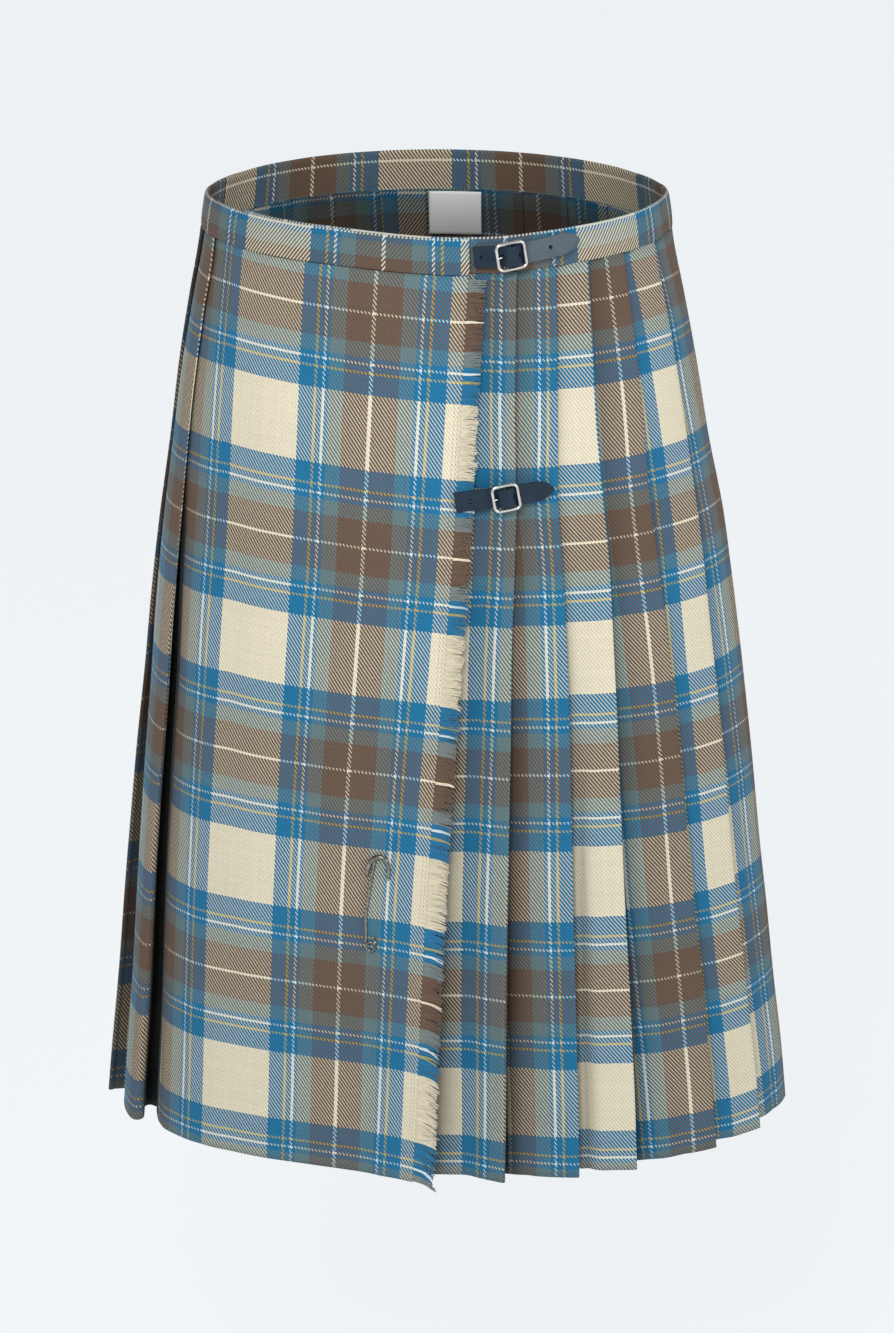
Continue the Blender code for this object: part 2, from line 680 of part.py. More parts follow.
def punch(thing, strap, along, out, radius, slope, cutters, name):
    """Round hole square to the strip, its axis leaning with the strip's own slope."""
    lean = Vector((-slope, 1.0)).normalized() * 3.2
    inner = strap_point(strap, along - lean.x, 0.0, out - lean.y)
    outer = strap_point(strap, along + lean.x, 0.0, out + lean.y)
    cut(thing, tube(name, [inner, outer], [radius * MM] * 2, 10, cutters, "leather"))


def build_strap(key, holes, group, cutters):
    strap = dict(zip(STRAP_COLUMNS, STRAPS[key]))
    stations = strap_path(strap)
    thing = flat_strip("strap_" + key, strap, stations, STRAP_WALL, group)
    alongs = [station[0] for station in stations]
    outs = [station[1] for station in stations]
    for number, (along, radius) in enumerate(holes):
        out = float(np.interp(along, alongs, outs))
        slope = (float(np.interp(along + 0.5, alongs, outs)) - float(np.interp(along - 0.5, alongs, outs)))
        punch(thing, strap, along, out, radius, slope, cutters, "hole_%s_%d" % (key, number))
    build_tab(key, strap, group, cutters)
    build_buckle(key, strap, group, cutters)


def build_tab(key, strap, group, cutters):
    """Short leather tab on the skirt, its end folded round the middle bar, with a slot for the prong."""
    level = strap["level"]
    low = level + SEAM_GAP / MM + TAB_WALL / 2
    bar = level + BAR_OUT
    wrap = FRAME_WIRE + 0.4 + TAB_WALL / 2
    half = TAB_WIDTH / 2
    stations = [
        (TAB_LENGTH, low, half * 0.8), (TAB_LENGTH - 1.6, low, half), (4.0, low, half),
        (1.2, low + 0.25, half), (-0.9, bar - wrap * 0.86, half), (-wrap, bar - 0.2, half),
        (-wrap * 0.72, bar + wrap * 0.7, half),
        (0.2, bar + wrap, half), (wrap * 0.8, bar + wrap * 0.72, half), (2.7, low + TAB_WALL + 0.85, half),
        (4.0, low + TAB_WALL + 0.4, half),
    ]
    thing = flat_strip("tab_" + key, strap, stations, TAB_WALL, group)
    corners = []
    for out in (bar - FRAME_WIRE - 0.2, bar + 5.0):
        for along, across in ((-4.0, -1.4), (1.6, -1.4), (1.6, 1.4), (-4.0, 1.4)):
            corners.append(strap_point(strap, along, across, out))
    faces = [(0, 3, 2, 1), (4, 5, 6, 7), (0, 1, 5, 4), (1, 2, 6, 5), (2, 3, 7, 6), (3, 0, 4, 7)]
    slot = new_object("slot_" + key, corners, faces, cutters, "leather")
    face_outwards(slot)
    cut(thing, slot)


def build_buckle(key, strap, group, cutters):
    """Rounded wire frame with a lowered middle bar and a prong whose tip rests on the near side bar."""
    half_length = strap["frame_half_length"] - FRAME_WIRE
    half_width = strap["frame_half_width"] - FRAME_WIRE
    level = strap["level"]
    path = []
    for side_x, side_y, start in ((1, 1, 0.0), (-1, 1, 0.5), (-1, -1, 1.0), (1, -1, 1.5)):
        for step in range(4):
            angle = math.pi * (start + 0.5 * step / 3)
            along = side_x * (half_length - FRAME_CORNER) + FRAME_CORNER * math.cos(angle)
            across = side_y * (half_width - FRAME_CORNER) + FRAME_CORNER * math.sin(angle)
            leaning = along - FRAME_LEAN * across
            path.append(strap_point(strap, leaning, across + FRAME_LEAN * along, level + FRAME_OUT))
    frame = tube("buckle_" + key, path, [FRAME_WIRE * MM] * len(path), 8, group, "nickel", closed=True)
    bar_path = []
    for across, out in (
        (half_width, FRAME_OUT), (half_width - 0.7, BAR_OUT + 0.5), (half_width - 1.5, BAR_OUT),
        (-half_width + 1.5, BAR_OUT), (-half_width + 0.7, BAR_OUT + 0.5), (-half_width, FRAME_OUT),
    ):
        bar_path.append(strap_point(strap, -FRAME_LEAN * across, across, level + out))
    bar = tube("bar_" + key, bar_path, [FRAME_WIRE * 0.9 * MM] * len(bar_path), 8, cutters, "nickel")
    cut(frame, bar, "UNION")
    prong_path = []
    for along, out in (
        (0.3, BAR_OUT), (-1.9, BAR_OUT + 0.1), (-3.8, BAR_OUT + 1.1),
        (-half_length + 1.6, FRAME_OUT + 0.7), (-half_length - 0.2, FRAME_OUT + 1.1),
    ):
        prong_path.append(strap_point(strap, along, 0.0, level + out))
    prong = tube("prong_" + key, prong_path, [PRONG_RADIUS * MM] * len(prong_path), 6, cutters, "nickel")
    cut(frame, prong, "UNION")


def pin_point(along, height, out):
    inset = by_height(FRINGE_LINE, height) - along
    return on_ring(along, height, apron_out(inset, height) + out)


def build_pin(group, cutters):
    """Safety-pin form: capped head, thick outer leg, small coil, and a sharp leg through the apron."""
    path = [pin_point(along, height, out) for along, height, out, _ in PIN_LEG]
    radii = [radius * MM for *_, radius in PIN_LEG]
    steps = round(PIN_COIL_TURNS * 10)
    for step in range(1, steps + 1):
        share = step / steps
        angle = math.pi + 2 * math.pi * PIN_COIL_TURNS * share
        along = PIN_COIL_CENTRE[0] + PIN_COIL_RADIUS * math.cos(angle)
        height = PIN_COIL_CENTRE[1] + PIN_COIL_RADIUS * math.sin(angle)
        out = PIN_COIL_OUT[0] + (PIN_COIL_OUT[1] - PIN_COIL_OUT[0]) * math.sin(math.pi * share * 0.5)
        path.append(pin_point(along, height, out))
        radii.append(PIN_COIL_WIRE * MM)
    path.extend(pin_point(along, height, out) for along, height, out, _ in PIN_SHARP)
    radii.extend(radius * MM for *_, radius in PIN_SHARP)
    pin = tube("kilt_pin", path, radii, 6, group, "nickel")
    head_path = [pin_point(along, height, out) for along, height, out, _ in PIN_HEAD]
    head = tube("pin_head", head_path, [radius * MM for *_, radius in PIN_HEAD], 8, cutters, "nickel")
    cut(pin, head, "UNION")


def build_label(group):
    """Blank rectangle hanging inside the back, curved with the ring."""
    rows = len(LABEL_OUT)
    columns = 5
    heights = [LABEL_TOP + (LABEL_BOTTOM - LABEL_TOP) * row / (rows - 1) for row in range(rows)]
    sections = []
    for height, out in zip(heights, LABEL_OUT):
        centre = ring_length(height) / 2
        section = []
        for column in range(columns):
            x = LABEL_RIGHT + (LABEL_LEFT - LABEL_RIGHT) * column / (columns - 1)
            section.append((centre - x, out))
        sections.append(section)
    cloth_panel("label", sections, heights, group, "satin", LABEL_WALL * MM)


def main():
    clear_scene()
    group = new_collection("kilt_skirt")
    cutters = new_collection("cutters", hidden=True)
    build_over_apron(group, cutters)
    build_under_apron(group)
    build_pleats(group)
    build_band("waistband_over", BAND_OVER_END, BAND_MEET + SEAM_GAP / MM, False, group)
    whole = ring_length(0.0)
    build_band("waistband_under", BAND_UNDER_END, BAND_MEET + whole, True, group)
    build_fringe(group)
    waist_holes = ((-15.3, HOLE_RADIUS), (-3.9, PRONG_HOLE_RADIUS), (4.0, HOLE_RADIUS), (23.0, HOLE_RADIUS))
    build_strap("waist", waist_holes, group, cutters)
    hip_holes = ((-20.0, HOLE_RADIUS), (-3.9, PRONG_HOLE_RADIUS), (4.0, HOLE_RADIUS))
    build_strap("hip", hip_holes, group, cutters)
    build_pin(group, cutters)
    build_label(group)


main()
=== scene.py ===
import math

import bpy
import numpy as np
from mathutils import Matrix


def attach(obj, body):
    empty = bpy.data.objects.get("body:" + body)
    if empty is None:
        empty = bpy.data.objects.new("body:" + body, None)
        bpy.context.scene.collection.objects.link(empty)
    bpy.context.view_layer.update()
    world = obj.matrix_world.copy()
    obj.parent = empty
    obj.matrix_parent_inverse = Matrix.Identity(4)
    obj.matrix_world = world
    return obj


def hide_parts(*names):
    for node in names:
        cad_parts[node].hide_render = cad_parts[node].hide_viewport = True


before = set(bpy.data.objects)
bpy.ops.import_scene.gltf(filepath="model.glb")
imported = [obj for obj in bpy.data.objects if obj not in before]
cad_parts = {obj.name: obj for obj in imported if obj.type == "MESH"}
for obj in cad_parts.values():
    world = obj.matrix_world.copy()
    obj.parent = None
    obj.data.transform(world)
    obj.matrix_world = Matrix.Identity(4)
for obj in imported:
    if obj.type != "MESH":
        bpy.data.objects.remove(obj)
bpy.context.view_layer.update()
print("frame loaded:", len(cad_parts), "solids")

# The camera stands in front of the skirt, a little above its waist, and looks down at it.
view = {"place": (0.006, -2.4, 0.62068), "downDegrees": 20.92, "lens": 75.49, "filmHeight": 24.0}

cameraData = bpy.data.cameras.new("camera")
cameraData.sensor_fit = "VERTICAL"
cameraData.sensor_height = view["filmHeight"]
cameraData.lens = view["lens"]
cameraData.clip_end = 60.0
camera = bpy.data.objects.new("camera", cameraData)
camera.location = view["place"]
camera.rotation_euler = (math.radians(90.0 - view["downDegrees"]), 0.0, 0.0)
bpy.context.scene.collection.objects.link(camera)
bpy.context.scene.camera = camera
bpy.context.scene.view_settings.view_transform = "Standard"

mm = 0.001
randomNumbers = np.random.default_rng(4173)

# The worn form, in millimetres: height, half width, depth in front, depth behind, shift to the right.
form = {
    "rings": (
        (4.0, 136.0, 105.8, 112.0, 0.0), (0.0, 136.5, 106.0, 112.0, 0.0), (-25.0, 139.8, 107.0, 112.5, 0.0),
        (-60.0, 146.8, 109.1, 114.6, 0.5), (-100.0, 154.3, 111.6, 117.6, 1.0),
        (-150.0, 162.3, 114.1, 120.6, 2.0), (-200.0, 171.3, 116.6, 123.6, 3.5),
        (-250.0, 178.3, 118.6, 125.6, 4.0), (-300.0, 184.3, 120.1, 127.6, 4.5),
        (-350.0, 190.3, 121.3, 129.1, 4.5), (-400.0, 195.5, 122.1, 130.6, 4.5),
        (-450.0, 201.0, 122.9, 132.1, 5.0), (-500.0, 206.1, 123.5, 133.6, 5.5),
        (-550.0, 212.0, 123.9, 134.6, 6.0), (-600.0, 216.9, 124.4, 135.8, 6.0),
    ),
    "sectionHeights": (-25.3, -60.0, -110.0, -150.0, -190.0, -250.0, -320.0, -400.0, -490.0, -586.0),
    "fringeLine": (28.5, 26.0, 22.5, 19.5, 16.0, 10.8, 5.0, -0.4, -5.7, -10.7),
    "hem": -586.0,
    "top": -24.95,
    "lieStart": -60.0,
    "liePower": 1.2,
    # how far the waist line rises, by distance round from the front centre, and how far that reaches down
    "rimPlaces": (-250.0, -215.0, -190.0, -150.0, -107.0, -61.0, -46.0, -6.0, 15.0, 30.0, 56.0, 87.0, 133.0,
                  165.0, 195.0, 215.0, 250.0),
    "rimRise": (0.0, 1.2, 3.2, 5.2, 5.0, 4.8, 4.2, 1.8, 0.9, 1.4, 2.7, 3.6, 4.2, 4.6, 3.0, 1.0, 0.0),
    "rimReach": -150.0,
    "frontSeamRise": 4.1,  # the band is this much less deep in front than behind
    "frontReach": (185.0, 255.0),
}


def smoothly(at, knots, values):
    # Monotone cubic through a short table: a knot's slope is the weighted harmonic mean of its neighbours.
    knots = np.asarray(knots, float)
    values = np.asarray(values, float)
    if knots[0] > knots[-1]:
        knots, values = knots[::-1], values[::-1]
    shape = (-1,) + (1,) * (values.ndim - 1)
    step = np.diff(knots).reshape(shape)
    rise = np.diff(values, axis=0) / step
    slope = np.zeros_like(values)
    before, after = rise[:-1], rise[1:]
    agree = before * after > 0
    nearAfter = 2 * step[1:] + step[:-1]
    nearBefore = step[1:] + 2 * step[:-1]
    mean = nearAfter / np.where(agree, before, 1.0) + nearBefore / np.where(agree, after, 1.0)
    slope[1:-1] = np.where(agree, (nearAfter + nearBefore) / mean, 0.0)
    slope[0], slope[-1] = rise[0], rise[-1]
    at = np.clip(np.asarray(at, float), knots[0], knots[-1])
    low = np.clip(np.searchsorted(knots, at, side="right") - 1, 0, len(knots) - 2)
    run = knots[low + 1] - knots[low]
    part = (at - knots[low]) / run
    extra = (1,) * (values.ndim - 1)
    part, run = part.reshape(part.shape + extra), run.reshape(run.shape + extra)
    square, cube = part ** 2, part ** 3
    start = (2 * cube - 3 * square + 1) * values[low] + (cube - 2 * square + part) * run * slope[low]
    end = (3 * square - 2 * cube) * values[low + 1] + (cube - square) * run * slope[low + 1]
    return start + end


def ringSizes(height):
    table = np.array(form["rings"])
    sizes = smoothly(height, table[:, 0], table[:, 1:])
    return sizes[..., 0], sizes[..., 1], sizes[..., 2], sizes[..., 3]


def ringChart():
    # Angle on the ring as a table over height (2 mm steps) and distance along it (1 mm steps).
    heights = np.arange(-604.0, 6.1, 2.0)
    angles = np.linspace(-2.5 * math.pi, 1.5 * math.pi, 2881)
    width, front, back, shift = ringSizes(heights)
    depth = np.where(np.sin(angles)[None] < 0, front[:, None], back[:, None])
    x = shift[:, None] + width[:, None] * np.cos(angles)
    y = depth * np.sin(angles)
    along = np.cumsum(np.hypot(np.diff(x, axis=1), np.diff(y, axis=1)), axis=1)
    along = np.concatenate([np.zeros((len(heights), 1)), along], axis=1)
    middle = len(angles) // 2
    turn = along[:, -1] - along[:, middle]
    along = along - along[:, middle:middle + 1]
    steps = np.arange(-620.0, 1200.1, 1.0)
    chart = np.stack([np.interp(steps, row, angles) for row in along])
    return heights, steps, chart, turn


chartHeights, chartSteps, angleChart, chartTurns = ringChart()


def onRing(along, height, out):
    # Millimetres in, metres out: the ring's point that far round from the front centre, moved out along its
    # normal.
    along, height, out = np.broadcast_arrays(*(np.asarray(each, float) for each in (along, height, out)))
    row = np.clip((height - chartHeights[0]) / 2.0, 0, len(chartHeights) - 1.001)
    column = np.clip(along - chartSteps[0], 0, len(chartSteps) - 1.001)
    low, left = row.astype(int), column.astype(int)
    up, right = row - low, column - left
    angle = ((angleChart[low, left] * (1 - right) + angleChart[low, left + 1] * right) * (1 - up)
             + (angleChart[low + 1, left] * (1 - right) + angleChart[low + 1, left + 1] * right) * up)
    width, front, back, shift = ringSizes(height)
    depth = np.where(np.sin(angle) < 0, front, back)
    across, behind = np.cos(angle) / width, np.sin(angle) / depth
    size = np.hypot(across, behind)
    x = shift + width * np.cos(angle) + out * across / size
    y = depth * np.sin(angle) + out * behind / size
    return np.stack([x, y, height], axis=-1) * mm


def ringLength(height):
    return np.interp(height, chartHeights, chartTurns)


def byHeight(values, height):
    return smoothly(height, form["sectionHeights"], values)


def lieShare(height):
    share = (form["lieStart"] - np.asarray(height, float)) / (form["lieStart"] - form["hem"])
    return np.clip(share, 0.0, None) ** form["liePower"]


def rimRise(along):
    # Rise of the waist line, and share of the front's shallower band, that far round from the front centre.
    half = ringLength(0.0) / 2
    along = (np.asarray(along, float) + half) % (2 * half) - half
    near, far = form["frontReach"]
    front = np.clip((far - np.abs(along)) / (far - near), 0.0, 1.0)
    return np.interp(along, form["rimPlaces"], form["rimRise"]), front * front * (3 - 2 * front)


def worn(height, along):
    # Heights with the waist line's rise added: all of it at the top, fading down the skirt as a smooth step.
    height, along = np.broadcast_arrays(height, along)
    rise, front = rimRise(along)
    part = np.clip((height - form["rimReach"]) / (form["top"] - form["rimReach"]), 0.0, 1.0)
    return height + (rise + form["frontSeamRise"] * front) * part * part * (3 - 2 * part)


def ridge(distance, width):
    # A soft hump, 1 in its middle and gone at about twice its width.
    return np.exp(-(distance / width) ** 2)


# Weave: one full repeat across (warp) and down (weft), threads in each, and where its stripes change,
# as shares of half a repeat from the pivot line's middle to the middle of the broad pale stripe.
tartan = {
    "acrossRepeat": 132.4,
    "acrossThreads": 238,
    "downRepeat": 140.6,
    "downThreads": 188,
    "colours": {
        "ivory": (0.850, 0.775, 0.580), "brown": (0.150, 0.098, 0.070), "teal": (0.135, 0.205, 0.215),
        "blue": (0.016, 0.175, 0.345), "white": (0.690, 0.760, 0.750), "gold": (0.455, 0.380, 0.140),
        "cream": (0.800, 0.730, 0.550),
    },
    # the fringe's loose yarn, where it looks different from the woven cloth
    "looseColours": {
        "brown": (0.150, 0.090, 0.062),
        "teal": (0.195, 0.235, 0.230),
        "cream": (0.700, 0.635, 0.480),
    },
    "acrossStripes": (
        ("ivory", 0.0), ("brown", 0.0175), ("teal", 0.243), ("blue", 0.372), ("white", 0.408),
        ("blue", 0.4345), ("gold", 0.4815), ("blue", 0.509), ("cream", 0.651),
    ),
    "downStripes": (
        ("ivory", 0.0), ("brown", 0.0135), ("teal", 0.246), ("blue", 0.372), ("white", 0.408),
        ("blue", 0.4365), ("gold", 0.482), ("blue", 0.5105), ("cream", 0.674),
    ),
    "darkCover": 1.25,
    "crossingSoftness": 1.15,  # how softly one yarn passes under the next, from its loose hairs
    "insideRowShift": 15.0,  # the rows inside the back lie this much lower
    # painted shade of the cloth's inner side: a darker copy of the same cloth
    "insidePaintedShade": 0.44,
    # metres below the waist where the painted shade towards the hem starts, over how far, and how much
    "hemShadeStart": 0.12,
    "hemShadeReach": 0.40,
    "hemShadeShare": 0.10,
    # height of each pivot row, counted in repeats down the skirt
    "rowHeights": (10.0, -34.0, -174.0, -315.0, -459.0, -600.0),
    "rowCounts": (-0.316, 0.0, 1.0, 2.0, 3.0, 3.985),
}


# How far the rows hang below a level line, in millimetres: by height, at named distances along the ring.
rowDrop = {
    "apron": (-200.0, -165.0, -135.0, -100.0, -60.0, -30.0, 15.0),
    "apronRows": (
        (-25.0, 7.5, 5.5, 3.5, 4.5, 6.5, 8.5, 12.5), (-150.0, 7.5, 5.5, 4.0, 5.0, 7.0, 9.5, 13.0),
        (-230.0, 5.5, 4.0, 3.0, 4.0, 5.5, 7.5, 10.5), (-330.0, 5.0, 4.5, 3.5, 4.5, 5.5, 6.5, 9.5),
        (-430.0, 5.5, 5.0, 4.0, 4.0, 4.5, 5.0, 8.0), (-590.0, 5.0, 5.0, 4.5, 4.0, 4.0, 4.5, 6.0),
    ),
    "pleats": (20.0, 60.0, 105.0, 150.0, 200.0, 270.0, 340.0),
    "pleatsRows": (
        (-25.0, 6.5, 7.0, 6.5, 6.5, 8.5, 6.0, 4.0), (-120.0, 7.0, 8.0, 9.0, 8.5, 9.0, 8.0, 4.0),
        (-200.0, 7.0, 7.5, 8.0, 8.0, 8.0, 8.0, 4.0), (-300.0, 7.5, 7.5, 8.0, 8.5, 8.0, 8.0, 4.0),
        (-430.0, 6.0, 6.5, 6.5, 7.0, 6.5, 5.5, 4.0), (-590.0, 5.0, 5.0, 5.5, 5.5, 5.0, 1.5, 3.0),
    ),
}


def clothDown(height, along=None, panel="apron"):
    # Distance down the cloth from the first pivot row, in metres.
    if along is not None:
        height, along = np.broadcast_arrays(height, along)
        table = np.array(rowDrop[panel + "Rows"])
        byColumn = smoothly(height, table[:, 0], table[:, 1:])
        places = np.array(rowDrop[panel])
        part = np.clip(along, places[0], places[-1])
        low = np.clip(np.searchsorted(places, part, side="right") - 1, 0, len(places) - 2)
        share = (part - places[low]) / (places[low + 1] - places[low])
        left = np.take_along_axis(byColumn, low[..., None], axis=-1)[..., 0]
        right = np.take_along_axis(byColumn, low[..., None] + 1, axis=-1)[..., 0]
        height = height + left * (1 - share) + right * share
    return smoothly(height, tartan["rowHeights"], tartan["rowCounts"]) * tartan["downRepeat"] * mm


class Signal:
    # One output socket. Arithmetic on it adds Math nodes, and make adds any other node.
    def __init__(self, tree, socket):
        self.tree = tree
        self.socket = socket

    def make(self, kind, settings=None, inputs=None, output=0):
        node = self.tree.nodes.new(kind)
        for key, value in (settings or {}).items():
            setattr(node, key, value)
        for key, value in (inputs or {}).items():
            if isinstance(value, Signal):
                self.tree.links.new(value.socket, node.inputs[key])
            else:
                node.inputs[key].default_value = value
        return Signal(self.tree, node.outputs[output])

    def math(self, operation, *others):
        return self.make("ShaderNodeMath", {"operation": operation}, dict(enumerate((self, *others))))

    def __add__(self, other):
        return self.math("ADD", other)

    def __sub__(self, other):
        return self.math("SUBTRACT", other)

    def __rsub__(self, other):
        return self.make("ShaderNodeMath", {"operation": "SUBTRACT"}, {0: other, 1: self})

    def __mul__(self, other):
        return self.math("MULTIPLY", other)

    def __truediv__(self, other):
        return self.math("DIVIDE", other)

    def clamped(self):
        return self.math("MAXIMUM", 0.0).math("MINIMUM", 1.0)

    def wave(self):
        return (self * (2 * math.pi)).math("SINE")

    def grey(self):
        return self.make("ShaderNodeRGBToBW", None, {0: self})

    def scaled(self, amount):
        return self.make("ShaderNodeVectorMath", {"operation": "SCALE"}, {"Vector": self, "Scale": amount})

    def mixed(self, other, share):
        return self.make("ShaderNodeMix", {"data_type": "RGBA"}, {"Factor": share, 6: self, 7: other}, 2)

    def split(self, *axes):
        node = self.make("ShaderNodeSeparateXYZ", None, {0: self}).socket.node
        return [Signal(self.tree, node.outputs[axis]) for axis in axes]

    def noise(self, scale, detail):
        return self.make("ShaderNodeTexNoise", None, {"Vector": self, "Scale": scale, "Detail": detail})

    def bump(self, strength, distance):
        return self.make("ShaderNodeBump", None, {"Strength": strength, "Distance": distance, "Height": self})

    def striped(self, stripes, colours):
        # A colour ramp without blending, with a stop where each stripe begins.
        colour = self.make("ShaderNodeValToRGB", None, {0: self})
        ramp = colour.socket.node.color_ramp
        ramp.interpolation = "CONSTANT"
        while len(ramp.elements) < len(stripes):
            ramp.elements.new(1.0)
        for element, (name, place) in zip(ramp.elements, stripes):
            element.position = place
            element.color = (*colours[name], 1.0)
        return colour

    def plain(self, colour):
        node = self.make("ShaderNodeRGB")
        node.socket.default_value = (*colour, 1.0)
        return node

    def objectPlace(self):
        return self.make("ShaderNodeTexCoord", None, None, 3)

    def clothPlace(self):
        return self.make("ShaderNodeUVMap", {"uv_map": "cloth"}).split(0, 1)

    # Share of painted light from the point attribute: painted shade on the cloth, a painted pale reflection
    # on the leather.
    def paintedLightShare(self):
        return self.make("ShaderNodeAttribute", {"attribute_name": "fold"}, None, 2)


def feed(material, links):
    # Constants and signals into the sockets of a material's Principled shader.
    sockets = material.node_tree.nodes["Principled BSDF"].inputs
    for key, value in links.items():
        if isinstance(value, Signal):
            material.node_tree.links.new(value.socket, sockets[key])
        else:
            sockets[key].default_value = value
    return material


def newMaterial(name, plain):
    # A material with its constant sockets set, and the start of its signals.
    material = bpy.data.materials.new(name)
    material.use_nodes = True
    return feed(material, plain), Signal(material.node_tree, None)


def threadPitch(way):
    return tartan[way + "Repeat"] / tartan[way + "Threads"] * mm


def yarnColour(thread, way, colours):
    # A thread takes the colour of the stripe that its own middle lies in, with a slight shade of its own.
    place = ((thread + 0.5) * (2.0 * threadPitch(way) / (tartan[way + "Repeat"] * mm))).math("PINGPONG", 1.0)
    shade = thread.make("ShaderNodeTexWhiteNoise", {"noise_dimensions": "1D"}, {"W": thread})
    return place.striped(tartan[way + "Stripes"], colours).scaled(shade * 0.10 + 0.95)


def tartanMaterial(name, lean, paintedShadeTone=1.0, rowShift=0.0):
    # 2/2 twill: each yarn waves over two and under two, one thread further on each row, so the ribs lean.
    material, start = newMaterial(name, {
        "Roughness": 0.86, "Specular IOR Level": 0.15, "Sheen Weight": 0.07, "Sheen Roughness": 0.45,
    })
    across, down = start.clothPlace()
    across, down = across / threadPitch("across"), (down - rowShift * mm) / threadPitch("down")
    warp, weft = across.math("FLOOR"), down.math("FLOOR")
    warpPart, weftPart = across.math("FRACT") * 2.0 - 1.0, down.math("FRACT") * 2.0 - 1.0
    warpHeight = (1.0 - warpPart * warpPart) * 0.35 + ((warp - down * lean) * 0.25).wave()
    weftHeight = (1.0 - weftPart * weftPart) * 0.35 - ((across - weft * lean) * 0.25).wave()
    height = warpHeight.math("MAXIMUM", weftHeight)
    warpColour = yarnColour(warp, "across", tartan["colours"])
    weftColour = yarnColour(weft, "down", tartan["colours"])
    # Darker yarn is a little thicker, so it covers more where it crosses a pale one.
    lead = warpHeight - weftHeight + (weftColour.grey() - warpColour.grey()) * tartan["darkCover"]
    onTop = (lead * tartan["crossingSoftness"] + 0.5).clamped()
    place = start.objectPlace()
    soft, fluff = place.noise(26.0, 3.0), place.noise(2600.0, 2.0)
    # Painted shade: the colour darkens a little towards the hem.
    low = ((place.split(2)[0] * -1.0 - tartan["hemShadeStart"]) / tartan["hemShadeReach"]).clamped()
    # Painted shade from the point attribute (folds, gaps, hidden parts, the band's inner layer) and the
    # darker inner-side copy.
    shade = (1.0 - start.paintedLightShare()) * (1.0 - low * tartan["hemShadeShare"]) * paintedShadeTone
    # The low parts between the yarns are painted darker, as shade between the threads.
    shade = (height * 0.20 + 0.80) * shade * (soft * 0.10 + 0.95) * (fluff * 0.16 + 0.92)
    return feed(material, {
        "Base Color": weftColour.mixed(warpColour, onTop).scaled(shade),
        "Normal": (height + fluff * 0.5).bump(0.55, 0.00016), "Roughness": 0.92 - height * 0.08,
    })


def fringeMaterial():
    # Loose weft yarn: the colour of its own row, with plied strands twisting round it.
    material, start = newMaterial("fringeYarn", {
        "Roughness": 0.9, "Specular IOR Level": 0.2, "Sheen Weight": 0.2, "Sheen Roughness": 0.5,
    })
    thread = (start.clothPlace()[1] / threadPitch("down")).math("FLOOR")
    colour = yarnColour(thread, "down", {**tartan["colours"], **tartan["looseColours"]})
    ply = start.objectPlace().noise(1500.0, 3.0)
    return feed(material, {
        "Base Color": colour.scaled(ply * 0.55 + 0.72), "Normal": ply.bump(0.5, 0.0001),
        "Roughness": 0.95 - ply * 0.1,
    })


def leatherMaterial():
    # Dyed hide: fine grain and small creases, and a painted pale reflection where the point attribute asks
    # for it.
    material, start = newMaterial("navyLeather", {"Roughness": 0.45, "Specular IOR Level": 0.28})
    place = start.objectPlace()
    grain = start.make("ShaderNodeTexVoronoi", None, {"Vector": place, "Scale": 1900.0})
    cloud, fine = place.noise(160.0, 4.0), place.noise(2400.0, 2.0)
    deep, pale = start.plain((0.004, 0.013, 0.028)), start.plain((0.014, 0.032, 0.056))
    colour = deep.mixed(pale, cloud * 0.9 + fine * 0.3 - 0.1)
    paintedReflection = start.plain((0.105, 0.132, 0.155))
    return feed(material, {
        "Base Color": colour.mixed(paintedReflection, start.paintedLightShare() * (cloud * 0.5 + 0.65)),
        "Normal": (grain + fine * 0.6).bump(0.35, 0.00012), "Roughness": cloud * 0.22 + 0.36,
    })


def metalMaterial(name, bright, dull, rough):
    # Plated wire: faint drawn lines and a duller patina in patches.
    material, start = newMaterial(name, {"Metallic": 1.0})
    place = start.objectPlace()
    patina, fine = place.noise(420.0, 5.0), place.noise(3000.0, 2.0)
    return feed(material, {
        "Base Color": start.plain(bright).mixed(start.plain(dull), patina * 1.6 - 0.4),
        "Normal": fine.bump(0.2, 0.00005), "Roughness": patina * 0.25 + rough,
    })


def satinMaterial():
    # Woven satin ribbon: close warp lines with a low sheen, and painted light: lighter at the top, darker
    # towards its lower edge.
    material, start = newMaterial("satinLabel", {"Specular IOR Level": 0.6, "Sheen Weight": 0.1})
    place = start.objectPlace()
    side, high = place.split(0, 2)
    lines, rows = (side * 3200.0).wave(), (high * 4200.0).wave()
    soft = place.noise(60.0, 3.0)
    # Painted light: the top is lighter and the lower edge darker.
    light = ((high + 0.0524) / 0.027).clamped()
    shade = (soft * 0.14 + 0.93 + lines * 0.02) * (light * 0.50 + 0.50)
    return feed(material, {
        "Base Color": start.plain((0.72, 0.725, 0.735)).scaled(shade),
        "Normal": (lines + rows * 0.4).bump(0.25, 0.00005), "Roughness": soft * 0.15 + 0.38,
    })


def stitchMaterial():
    # Sewing thread with its twist.
    material, start = newMaterial("sewingThread", {"Roughness": 0.7, "Specular IOR Level": 0.3})
    twist = start.objectPlace().noise(2500.0, 2.0)
    colour = start.plain((0.30, 0.235, 0.155)).scaled(twist * 0.5 + 0.75)
    return feed(material, {"Base Color": colour, "Normal": twist.bump(0.4, 0.00005)})


